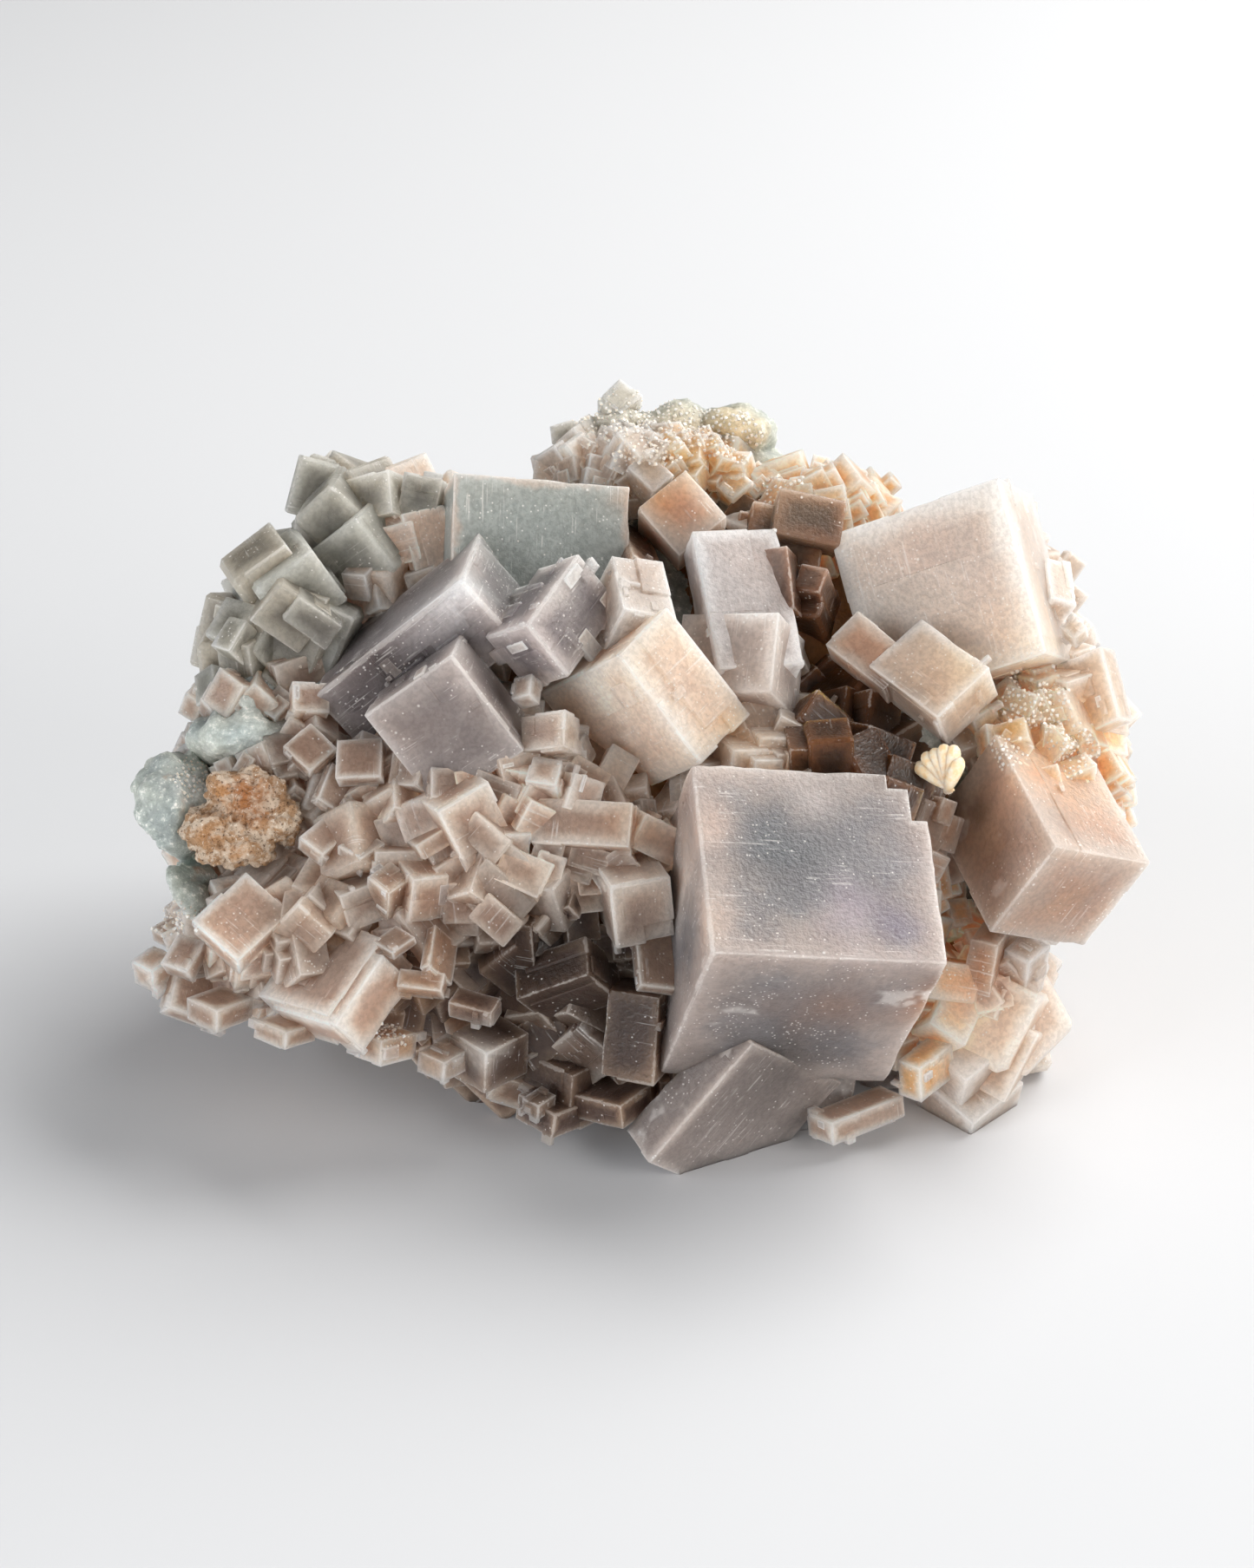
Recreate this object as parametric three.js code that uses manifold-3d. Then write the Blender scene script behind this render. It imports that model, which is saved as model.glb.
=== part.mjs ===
// A fluorite specimen: intergrown frosted cubes on a rock of pale green massive fluorite.
// Millimetres, +Z up. The crystal face looks towards -Y, and the origin lies under the middle.
import * as THREE from "three";
import { mergeVertices } from "three/addons/utils/BufferGeometryUtils.js";
import Module from "manifold-3d";

const wasm = await Module();
wasm.setup();

// Driving dimensions
const SPECIMEN_WIDTH = 180;
const CUT_HEIGHT = 0;
const SEAM = 0.3;
const ROUGHNESS = 0.09;
// Brings the middle of the specimen's box over the origin.
const TO_MIDDLE = [-1.8, -6.3, 0];

// The specimen is laid out as a viewer sees it, on a picture of 1445 by 1807 pixels.
const PICTURE = { width: 1445, height: 1807 };
const WIDTH_IN_PICTURE = 1180;
const VIEW_DISTANCE = 700;
const VIEW_PITCH = THREE.MathUtils.degToRad(28);
const AIM = new THREE.Vector3(0, 0, 53);
const PIXEL = SPECIMEN_WIDTH / WIDTH_IN_PICTURE;

const ACROSS = new THREE.Vector3(1, 0, 0);
const UPWARD = new THREE.Vector3(0, Math.sin(VIEW_PITCH), Math.cos(VIEW_PITCH));
const TOWARD = new THREE.Vector3(0, -Math.cos(VIEW_PITCH), Math.sin(VIEW_PITCH));
const EYE = AIM.clone().addScaledVector(TOWARD, VIEW_DISTANCE);

// A pixel's place on the plane through AIM, in millimetres across and up.
function onPlane([px, py]) {
  return [(px - PICTURE.width / 2) * PIXEL, (PICTURE.height / 2 - py) * PIXEL];
}

// The point seen at a pixel, a given distance in front of the plane through AIM.
function seenAt(pixel, toward) {
  const [across, up] = onPlane(pixel);
  const shrink = (VIEW_DISTANCE - toward) / VIEW_DISTANCE;
  return AIM.clone()
    .addScaledVector(ACROSS, across * shrink)
    .addScaledVector(UPWARD, up * shrink)
    .addScaledVector(TOWARD, toward);
}

// The same numbers in any language: a small generator with a stated seed.
function dice(seed) {
  let state = seed >>> 0;
  return () => {
    state = (Math.imul(state, 1664525) + 1013904223) >>> 0;
    return state / 4294967296;
  };
}

// Lumps of fluorite that carry the crystals: where they show, how far forward, and radii across,
// up and deep.
const BODY_LUMPS = [
  { at: [600, 980], toward: -14, radii: [46, 30, 36] },
  { at: [900, 990], toward: -10, radii: [32, 30, 34] },
  { at: [640, 770], toward: -32, radii: [38, 26, 32] },
  { at: [880, 740], toward: -30, radii: [32, 24, 28] },
  { at: [1110, 740], toward: -20, radii: [19, 24, 22] },
  { at: [1090, 870], toward: -18, radii: [20, 18, 22] },
  { at: [1180, 900], toward: -16, radii: [17, 22, 26] },
  { at: [700, 1180], toward: -8, radii: [33, 15, 20] },
  { at: [410, 1080], toward: -4, radii: [31, 15, 26] },
  { at: [370, 910], toward: -18, radii: [25, 24, 28] },
  { at: [1085, 1140], toward: -12, radii: [16, 16, 18] },
  { at: [860, 1240], toward: 2, radii: [14, 10, 16] },
  { at: [745, 555], toward: -27, radii: [19, 10, 14] },
  { at: [450, 660], toward: -24, radii: [15, 15, 18] },
  { at: [930, 590], toward: -26, radii: [14, 8, 14] },
  { at: [1000, 830], toward: -20, radii: [18, 14, 22] },
];

// Pale green rock, as the viewer sees it: the lobes of the left rim and the crown.
const RIM_LUMPS = [
  { at: [198, 935], toward: -2, radii: [7.6, 10.2, 14] },
  { at: [285, 850], toward: -3, radii: [10.4, 5.2, 13] },
  { at: [290, 805], toward: -8, radii: [8.4, 5, 14] },
  { at: [204, 1045], toward: 2, radii: [8.2, 8.5, 14] },
  { at: [190, 1105], toward: 4, radii: [6, 5.6, 11] },
  { at: [308, 745], toward: -16, radii: [8.2, 8, 17] },
  { at: [345, 700], toward: -14, radii: [7, 8.4, 16] },
  { at: [326, 680], toward: -24, radii: [5.4, 7.4, 12] },
  { at: [398, 612], toward: -22, radii: [6.6, 9.4, 13] },
  { at: [705, 490], toward: -36, radii: [8, 7, 12] },
  { at: [770, 505], toward: -36, radii: [9, 6.6, 12] },
  { at: [845, 500], toward: -36, radii: [8, 5.6, 12] },
  { at: [800, 570], toward: -38, radii: [22, 11, 15] },
];

// Pale green rock out of the viewer's sight: centre and radii, in millimetres.
const BACK_LUMPS = [
  { centre: [-4, 38, 42], radii: [72, 36, 42] },
  { centre: [-2, 24, 12], radii: [62, 38, 20] },
  { centre: [-50, 22, 42], radii: [32, 30, 30] },
  { centre: [52, 26, 40], radii: [28, 32, 36] },
  { centre: [14, 50, 72], radii: [30, 16, 20] },
];

// Broken faces of the rock: the way each one looks, and how far it lies from ROCK_MIDDLE.
const ROCK_MIDDLE = [0, 25, 42];
const BROKEN_FACES = [
  { looks: [0.1, 1, 0], reach: 38 },
  { looks: [-0.75, 0.65, 0.1], reach: 58 },
  { looks: [0.8, 0.6, 0.05], reach: 58 },
  { looks: [-0.15, 0.6, 0.8], reach: 65 },
  { looks: [0.2, 0.65, -0.75], reach: 44 },
  { looks: [-0.8, 0.1, -0.6], reach: 58 },
  { looks: [0.8, 0.1, -0.6], reach: 58 },
];

// A rusty crust in the hollow at the left, and a small fan of cream blades at the right.
const CRUST_LUMPS = [
  { at: [282, 915], toward: 11, radii: [7, 4.6, 6] },
  { at: [250, 955], toward: 12, radii: [6, 4.4, 6] },
  { at: [316, 945], toward: 12, radii: [5.4, 4, 5] },
  { at: [270, 980], toward: 13, radii: [6.4, 3.4, 5] },
];
const FAN_FOOT = { at: [1092, 906], toward: 13 };
const FAN_TIPS = [[1058, 878], [1070, 865], [1081, 860], [1091, 857], [1101, 861]];
const FAN_BLADE = { wide: 2.1, thick: 3.4, tilt: 1.2 };

// Crystals. Each is a block: the pixel of its corner nearest the viewer, the pixels where the
// three edges that leave it end, and how far in front of AIM that corner lies.
const GREAT_CUBE = { corner: [823, 1098], arms: [[1092, 1110], [800, 880], [762, 1237]], toward: 50 };
// Its stepped upper right corner: the share of each edge, from the near corner, where a step starts.
const GREAT_CUBE_STEPS = [[0.84, 0.92], [0.93, 0.75]];
const GREAT_NEIGHBOURS = [
  // the slab under the great cube, the cube at its right, the tall cap and what leans on it
  { corner: [867, 1203], arms: [[748, 1340], [970, 1248], [838, 1166]], toward: 26 },
  { corner: [1217, 976], arms: [[1141, 1073], [1326, 995], [1147, 847]], toward: 30 },
  { corner: [1205, 752], arms: [[1150, 552], [1010, 814], [1243, 764]], toward: 12 },
  { corner: [1080, 826], arms: [[1002, 767], [1140, 770], [1092, 857]], toward: 20 },
  { corner: [1018, 795], arms: [[952, 742], [1055, 757], [1024, 812]], toward: 12 },
];
const UPPER_CRYSTALS = [
  // the upright column, the block below it and the slivers in the cleft
  { corner: [829, 770], arms: [[798, 613], [927, 764], [817, 795]], toward: 14 },
  { corner: [888, 797], arms: [[898, 706], [776, 798], [917, 828]], toward: 17 },
  { corner: [915, 700], arms: [[907, 628], [948, 735], [888, 705]], toward: 6 },
  { corner: [1000, 868], arms: [[925, 838], [1062, 830], [1004, 900]], toward: 12 },
  { corner: [940, 850], arms: [[900, 838], [965, 815], [944, 885]], toward: 12 },
  { corner: [872, 850], arms: [[878, 812], [898, 868], [858, 862]], toward: 14 },
  { corner: [845, 830], arms: [[824, 814], [864, 812], [846, 862]], toward: 11 },
  { corner: [800, 830], arms: [[778, 792], [822, 822], [806, 866]], toward: 10 },
  // the large grey-green cube at the back and the dark one beside it
  { corner: [519, 690], arms: [[524, 545], [722, 705], [505, 712]], toward: 4 },
  { corner: [730, 640], arms: [[700, 556], [766, 660], [712, 670]], toward: 4 },
  { corner: [783, 640], arms: [[735, 585], [838, 595], [782, 690]], toward: -2 },
  { corner: [880, 615], arms: [[832, 598], [945, 588], [884, 645]], toward: -4 },
  // the pair of large cubes at the left and the group in the middle
  { corner: [532, 672], arms: [[366, 803], [596, 742], [553, 620]], toward: 20 },
  { corner: [520, 757], arms: [[421, 825], [603, 864], [533, 728]], toward: 27 },
  { corner: [608, 720], arms: [[563, 735], [655, 778], [666, 640]], toward: 25 },
  { corner: [720, 702], arms: [[705, 640], [777, 712], [690, 760]], toward: 20 },
  { corner: [713, 755], arms: [[625, 800], [808, 878], [768, 702]], toward: 27 },
  { corner: [610, 800], arms: [[590, 806], [613, 776], [622, 812]], toward: 23 },
  { corner: [650, 860], arms: [[600, 866], [650, 820], [668, 868]], toward: 25 },
  { corner: [640, 905], arms: [[606, 900], [648, 876], [645, 925]], toward: 25 },
];
const LEFT_FIELD = [
  { corner: [386, 1181], arms: [[441, 1101], [316, 1160], [420, 1212]], toward: 33 },
  { corner: [378, 1171], arms: [[440, 1080], [300, 1147], [412, 1204]], toward: 31 },
  { corner: [274, 1108], arms: [[222, 1062], [335, 1050], [276, 1122]], toward: 26 },
  { corner: [195, 1160], arms: [[206, 1110], [250, 1180], [183, 1168]], toward: 14 },
  { corner: [215, 1120], arms: [[235, 1085], [186, 1110], [222, 1132]], toward: 17 },
  { corner: [357, 889], arms: [[327, 860], [388, 862], [357, 897]], toward: 15 },
  { corner: [438, 894], arms: [[440, 850], [386, 897], [443, 904]], toward: 19 },
  { corner: [366, 920], arms: [[383, 879], [396, 939], [358, 924]], toward: 17 },
  { corner: [397, 956], arms: [[396, 920], [426, 962], [390, 963]], toward: 19 },
  { corner: [455, 930], arms: [[453, 898], [484, 938], [440, 945]], toward: 21 },
  { corner: [478, 905], arms: [[486, 878], [455, 903], [492, 915]], toward: 20 },
  { corner: [505, 935], arms: [[561, 902], [539, 1002], [481, 920]], toward: 28 },
  { corner: [497, 918], arms: [[497, 884], [552, 923], [492, 926]], toward: 23 },
  { corner: [574, 963], arms: [[612, 962], [571, 996], [566, 948]], toward: 26 },
  { corner: [724, 976], arms: [[729, 925], [612, 970], [732, 988]], toward: 27 },
  { corner: [619, 1034], arms: [[637, 997], [566, 1010], [621, 1052]], toward: 27 },
  { corner: [704, 1024], arms: [[672, 975], [770, 1010], [712, 1092]], toward: 30 },
  { corner: [738, 1135], arms: [[730, 1045], [790, 1141], [732, 1143]], toward: 28 },
  { corner: [655, 1045], arms: [[663, 1022], [640, 1050], [668, 1058]], toward: 25 },
  { corner: [612, 1068], arms: [[572, 1062], [616, 1118], [622, 1050]], toward: 24 },
  { corner: [678, 1123], arms: [[595, 1152], [675, 1080], [714, 1152]], toward: 26 },
  { corner: [760, 1150], arms: [[700, 1140], [752, 1250], [790, 1120]], toward: 24 },
  { corner: [566, 1168], arms: [[517, 1155], [577, 1150], [566, 1185]], toward: 27 },
  { corner: [494, 1112], arms: [[502, 1066], [520, 1135], [484, 1116]], toward: 29 },
  { corner: [508, 1142], arms: [[457, 1136], [512, 1122], [512, 1152]], toward: 29 },
  { corner: [452, 1098], arms: [[430, 1085], [478, 1080], [454, 1106]], toward: 29 },
  { corner: [476, 1014], arms: [[459, 992], [516, 1010], [471, 1062]], toward: 27 },
  { corner: [448, 1030], arms: [[425, 1012], [474, 1012], [446, 1062]], toward: 27 },
  { corner: [415, 990], arms: [[392, 975], [442, 972], [414, 1008]], toward: 23 },
  { corner: [372, 985], arms: [[345, 965], [404, 958], [370, 998]], toward: 21 },
  { corner: [660, 1240], arms: [[600, 1215], [735, 1205], [655, 1305]], toward: 16 },
  { corner: [560, 1215], arms: [[520, 1190], [610, 1190], [558, 1262]], toward: 22 },
  { corner: [512, 1225], arms: [[482, 1212], [543, 1208], [510, 1248]], toward: 23 },
  { corner: [620, 1275], arms: [[602, 1266], [640, 1262], [620, 1290]], toward: 18 },
  { corner: [250, 1165], arms: [[215, 1150], [290, 1150], [250, 1190]], toward: 20 },
  { corner: [330, 1190], arms: [[295, 1175], [365, 1180], [328, 1210]], toward: 24 },
  { corner: [440, 1200], arms: [[410, 1190], [480, 1190], [438, 1228]], toward: 27 },
  { corner: [175, 1120], arms: [[152, 1108], [200, 1102], [178, 1145]], toward: 14 },
  { corner: [640, 1285], arms: [[598, 1262], [700, 1262], [636, 1312]], toward: 17 },
  { corner: [715, 1275], arms: [[660, 1262], [750, 1250], [718, 1302]], toward: 19 },
];
const LEFT_SHOULDER = [
  { corner: [452, 590], arms: [[402, 604], [447, 541], [480, 600]], toward: -6 },
  { corner: [500, 600], arms: [[458, 592], [500, 552], [520, 615]], toward: -8 },
  { corner: [482, 664], arms: [[463, 593], [530, 652], [470, 676]], toward: -6 },
  { corner: [437, 700], arms: [[425, 632], [480, 700], [415, 712]], toward: -3 },
  { corner: [385, 690], arms: [[345, 672], [405, 655], [388, 705]], toward: -8 },
];
const CROWN = [
  { corner: [712, 480], arms: [[688, 462], [738, 455], [712, 505]], toward: -24 },
  { corner: [665, 512], arms: [[638, 520], [662, 484], [700, 525]], toward: -22 },
  { corner: [722, 562], arms: [[678, 522], [757, 540], [724, 575]], toward: -16 },
  { corner: [812, 552], arms: [[788, 552], [826, 520], [822, 566]], toward: -18 },
  { corner: [782, 538], arms: [[765, 525], [800, 518], [783, 546]], toward: -20 },
  { corner: [845, 575], arms: [[825, 560], [868, 556], [846, 590]], toward: -14 },
  { corner: [880, 560], arms: [[862, 545], [902, 548], [878, 590]], toward: -17 },
  { corner: [985, 584], arms: [[892, 570], [1003, 562], [984, 600]], toward: -16 },
  { corner: [760, 580], arms: [[738, 570], [790, 562], [762, 592]], toward: -14 },
];
const RIGHT_EDGE = [
  { corner: [1212, 690], arms: [[1205, 642], [1240, 697], [1195, 715]], toward: 0 },
  { corner: [1290, 828], arms: [[1268, 745], [1306, 832], [1240, 850]], toward: 6 },
  { corner: [1238, 735], arms: [[1222, 722], [1253, 722], [1240, 748]], toward: 4 },
  { corner: [1150, 1090], arms: [[1118, 1082], [1140, 1150], [1165, 1070]], toward: 12 },
  { corner: [1185, 1110], arms: [[1158, 1095], [1180, 1160], [1208, 1090]], toward: 9 },
  { corner: [1060, 1232], arms: [[1034, 1222], [1098, 1203], [1062, 1270]], toward: 14 },
  { corner: [958, 1295], arms: [[930, 1283], [1042, 1262], [960, 1320]], toward: 14 },
];

// Small crystals strewn over the body between the others: the patch, how many, their edges in
// millimetres and how far their middles stand out of the body.
const STREWN = [
  {
    patch: [
      [230, 1010], [330, 970], [400, 850], [560, 880],
      [780, 900], [780, 1230], [600, 1250], [300, 1175],
    ],
    count: 26,
    edges: [6, 11],
    out: [-2.5, 0.5],
  },
  {
    patch: [[1120, 790], [1270, 770], [1270, 900], [1220, 930], [1120, 870]],
    count: 10,
    edges: [4, 7],
    out: [-1, 1],
  },
  {
    patch: [[300, 760], [370, 710], [360, 800], [350, 830], [310, 830]],
    count: 3,
    edges: [5, 9],
    out: [0, 3],
  },
  {
    patch: [[1040, 1190], [1160, 1100], [1170, 1150], [1080, 1250]],
    count: 5,
    edges: [5, 8],
    out: [-1, 1],
  },
  {
    patch: [[660, 520], [840, 530], [860, 590], [700, 600]],
    count: 4,
    edges: [5, 8],
    out: [-1, 1],
  },
];

// How far forward the carrying body reaches behind a pixel.
function bodyFront(pixel) {
  const [across, up] = onPlane(pixel);
  let front = -30;
  for (const { at, toward, radii } of BODY_LUMPS) {
    const [lumpAcross, lumpUp] = onPlane(at);
    const left = 1 - ((across - lumpAcross) / radii[0]) ** 2 - ((up - lumpUp) / radii[1]) ** 2;
    if (left > 0) front = Math.max(front, toward + radii[2] * Math.sqrt(left));
  }
  return front;
}

// A ball roughened by a few waves, stretched along three axes.
function lumpAlong(centre, axes, radii, index, detail, swell) {
  const ball = new THREE.IcosahedronGeometry(1, detail);
  const place = ball.getAttribute("position");
  const point = new THREE.Vector3();
  for (let i = 0; i < place.count; i++) {
    point.fromBufferAttribute(place, i);
    const wave =
      Math.sin(5.1 * point.x + 1.7 * index) * Math.sin(4.3 * point.y + 2.3 * index) +
      0.6 * Math.sin(9.7 * point.z + 3.1 * index) * Math.sin(8.3 * point.x - index);
    const reach = 1 + ROUGHNESS * wave;
    const [across, up, deep] = [point.x, point.y, point.z].map((v, k) => v * (radii[k] * reach + swell));
    const world = centre.clone();
    [across, up, deep].forEach((v, k) => world.addScaledVector(axes[k], v));
    place.setXYZ(i, world.x, world.y, world.z);
  }
  return solidOf(ball);
}

const VIEWER_AXES = [ACROSS, UPWARD, TOWARD];
const PLAIN_AXES = [new THREE.Vector3(1, 0, 0), new THREE.Vector3(0, 1, 0), new THREE.Vector3(0, 0, 1)];

function lumpSeen({ at, toward, radii }, index, detail, swell = 0) {
  return lumpAlong(seenAt(at, toward), VIEWER_AXES, radii, index, detail, swell);
}

function lumpPlain({ centre, radii }, index, detail, swell = 0) {
  return lumpAlong(new THREE.Vector3(...centre), PLAIN_AXES, radii, index, detail, swell);
}

// A block placed from what the viewer sees. The edges leave the near corner at right angles, so
// the bearings at which they are seen fix how far each one slopes away.
function blockSeen({ corner, arms, toward }) {
  const near = seenAt(corner, toward);
  const back = EYE.clone().sub(near).normalize();
  const range = EYE.distanceTo(near);
  const sights = arms.map((pixel) => seenAt(pixel, 0).sub(EYE).normalize());
  const flat = sights.map((sight) => sight.clone().addScaledVector(back, -sight.dot(back)).normalize());
  const spread = (i, j) => Math.min(flat[i].dot(flat[j]), -0.03);
  const cosines = [spread(1, 2), spread(2, 0), spread(0, 1)];
  const edges = flat.map((direction, i) => {
    const slope = Math.sqrt((-cosines[(i + 1) % 3] * cosines[(i + 2) % 3]) / cosines[i]);
    return direction.clone().addScaledVector(back, -slope).normalize();
  });
  const lengths = edges.map((edge, i) => {
    const wide = Math.acos(-sights[i].dot(back));
    const turn = Math.acos(edge.dot(back));
    return (range * Math.sin(wide)) / Math.sin(wide + turn);
  });
  return { near, edges, lengths };
}

// A block's solid, swollen on every side when it cuts a seat in its neighbour.
function blockSolid({ near, edges, lengths }, swell = 0) {
  const [a, b] = edges;
  const second = b.clone().addScaledVector(a, -b.dot(a)).normalize();
  const third = a.clone().cross(second);
  const side = Math.sign(third.dot(edges[2]));
  const size = lengths.map((length) => length + 2 * swell);
  const centre = near
    .clone()
    .addScaledVector(a, lengths[0] / 2)
    .addScaledVector(second, lengths[1] / 2)
    .addScaledVector(third, (side * lengths[2]) / 2);
  const box = new THREE.BoxGeometry(size[0], size[1], size[2]);
  box.applyMatrix4(new THREE.Matrix4().makeBasis(a, second, third).setPosition(centre));
  return solidOf(box);
}

// Solids and meshes
function solidOf(geometry) {
  const bare = geometry.clone();
  bare.deleteAttribute("normal");
  bare.deleteAttribute("uv");
  const merged = mergeVertices(bare, 1e-4);
  const vertProperties = new Float32Array(merged.getAttribute("position").array);
  const triVerts = new Uint32Array(merged.index.array);
  return new wasm.Manifold(new wasm.Mesh({ numProp: 3, vertProperties, triVerts }));
}

function joined(solids) {
  let round = solids;
  while (round.length > 1) {
    const next = [];
    for (let i = 0; i < round.length; i += 2) {
      next.push(i + 1 < round.length ? round[i].add(round[i + 1]) : round[i]);
    }
    round = next;
  }
  return round[0];
}

function largestPiece(solid) {
  return solid.decompose().reduce((best, piece) => (piece.volume() > best.volume() ? piece : best));
}

function meshNamed(name, solid, material) {
  const { vertProperties, triVerts, numProp } = solid.getMesh();
  const place = new Float32Array((vertProperties.length / numProp) * 3);
  for (let i = 0; i < place.length / 3; i++) {
    place.set(vertProperties.subarray(i * numProp, i * numProp + 3), i * 3);
  }
  const geometry = new THREE.BufferGeometry()
    .setAttribute("position", new THREE.BufferAttribute(place, 3))
    .setIndex(new THREE.BufferAttribute(triVerts, 1));
  geometry.translate(...TO_MIDDLE);
  geometry.computeVertexNormals();
  const mesh = new THREE.Mesh(geometry, material);
  mesh.name = name;
  return mesh;
}

// Everything behind a plane, as a block to cut away.
function beyond(point, looks, size = 400) {
  const room = new THREE.BoxGeometry(size, size, size);
  room.translate(0, 0, size / 2);
  const turn = new THREE.Quaternion().setFromUnitVectors(new THREE.Vector3(0, 0, 1), looks);
  room.applyQuaternion(turn);
  room.translate(point.x, point.y, point.z);
  return solidOf(room);
}

// A small crystal strewn on the body, turned as chance has it.
function strewnBlock(patch, edges, out, roll) {
  const xs = patch.map((p) => p[0]);
  const ys = patch.map((p) => p[1]);
  let pixel;
  do {
    pixel = [
      Math.min(...xs) + roll() * (Math.max(...xs) - Math.min(...xs)),
      Math.min(...ys) + roll() * (Math.max(...ys) - Math.min(...ys)),
    ];
  } while (!inside(pixel, patch));
  const turn = new THREE.Quaternion(roll() - 0.5, roll() - 0.5, roll() - 0.5, 0.2 + roll()).normalize();
  const axes = PLAIN_AXES.map((axis) => axis.clone().applyQuaternion(turn));
  const lengths = [0, 1, 2].map(() => edges[0] + roll() ** 2 * (edges[1] - edges[0]));
  const middle = seenAt(pixel, bodyFront(pixel) + out[0] + roll() * (out[1] - out[0]));
  const near = middle.clone();
  axes.forEach((axis, k) => near.addScaledVector(axis, -lengths[k] / 2));
  return { near, edges: axes, lengths };
}

function inside([x, y], patch) {
  let odd = false;
  for (let i = 0, j = patch.length - 1; i < patch.length; j = i++) {
    const [xi, yi] = patch[i];
    const [xj, yj] = patch[j];
    if (yi > y !== yj > y && x < ((xj - xi) * (y - yi)) / (yj - yi) + xi) odd = !odd;
  }
  return odd;
}

// Assembly
const seen = [
  GREAT_CUBE,
  ...GREAT_NEIGHBOURS,
  ...UPPER_CRYSTALS,
  ...LEFT_FIELD,
  ...LEFT_SHOULDER,
  ...CROWN,
  ...RIGHT_EDGE,
];
const blocks = seen.map(blockSeen);
const roll = dice(4410);
for (const { patch, count, edges, out } of STREWN) {
  for (let i = 0; i < count; i++) blocks.push(strewnBlock(patch, edges, out, roll));
}
const belowCut = beyond(new THREE.Vector3(0, 0, CUT_HEIGHT), new THREE.Vector3(0, 0, -1));
const middle = new THREE.Vector3(...ROCK_MIDDLE);

// The rock, or the seat it takes up among the crystals when it is swollen by the seam.
function rockSolid(swell) {
  const broken = BROKEN_FACES.map(({ looks, reach }) => {
    const away = new THREE.Vector3(...looks).normalize();
    return beyond(middle.clone().addScaledVector(away, reach + swell), away);
  });
  const massive = joined(BACK_LUMPS.map((lump, i) => lumpPlain(lump, i + 30, 2, swell)));
  const rim = RIM_LUMPS.map((lump, i) => lumpSeen(lump, i + 20, 1, swell));
  return joined([massive, ...rim]).subtract(joined(broken));
}

// The crystals with the body that carries them, or the seat they take up when swollen.
function grownSolid(swell) {
  const lumps = BODY_LUMPS.map((lump, i) => lumpSeen(lump, i, 1, swell));
  const [great, ...others] = blocks.map((block) => blockSolid(block, swell));
  return joined([...lumps, great.subtract(joined(stepsIn(blocks[0]))), ...others]);
}

// The stepped corner of the great cube, cut right through its front edge.
function stepsIn({ near, edges, lengths }) {
  return GREAT_CUBE_STEPS.map(([right, up]) => {
    const corner = near
      .clone()
      .addScaledVector(edges[0], lengths[0] * right)
      .addScaledVector(edges[1], lengths[1] * up)
      .addScaledVector(edges[2], -2);
    return blockSolid({ near: corner, edges, lengths: [20, 20, 12] });
  });
}

// The fan: blades that spread from one foot, each turned a little further than the last.
function fanSolid() {
  const foot = seenAt(FAN_FOOT.at, FAN_FOOT.toward);
  const blades = FAN_TIPS.map((tip, i) => {
    const reach = seenAt(tip, FAN_FOOT.toward + i * FAN_BLADE.tilt - 2).sub(foot);
    const along = reach.clone().normalize();
    const out = TOWARD.clone().addScaledVector(along, -along.dot(TOWARD)).normalize();
    const side = along.clone().cross(out);
    const near = foot
      .clone()
      .addScaledVector(along, -2.5)
      .addScaledVector(out, -FAN_BLADE.thick / 2)
      .addScaledVector(side, -FAN_BLADE.wide / 2);
    return blockSolid({
      near,
      edges: [along, out, side],
      lengths: [reach.length() + 2.5, FAN_BLADE.thick, FAN_BLADE.wide],
    });
  });
  return joined(blades);
}

const rock = largestPiece(rockSolid(0).subtract(belowCut));
const crystals = largestPiece(grownSolid(0).subtract(rockSolid(SEAM)).subtract(belowCut));
const grownSeat = grownSolid(SEAM);
const rough = joined(CRUST_LUMPS.map((lump, i) => lumpSeen(lump, i + 50, 1)));
const crust = largestPiece(rough.subtract(grownSeat).subtract(rockSolid(SEAM)));
const fan = largestPiece(fanSolid().subtract(grownSeat));

// Colours taken from the specimen's own look
const LILAC_GREY = new THREE.MeshStandardMaterial({ color: 0xb3a39f, roughness: 0.45, metalness: 0 });
const PALE_GREEN = new THREE.MeshStandardMaterial({ color: 0xb4bdb6, roughness: 0.7, metalness: 0 });
const RUST = new THREE.MeshStandardMaterial({ color: 0xa8794f, roughness: 0.9, metalness: 0 });
const CREAM = new THREE.MeshStandardMaterial({ color: 0xf2e6d2, roughness: 0.5, metalness: 0 });

const specimen = new THREE.Group();
specimen.add(
  meshNamed("fluorite_crystals", crystals, LILAC_GREY),
  meshNamed("pale_green_rock", rock, PALE_GREEN),
  meshNamed("iron_crust", crust, RUST),
  meshNamed("calcite_fan", fan, CREAM),
);

export default specimen;
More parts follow.
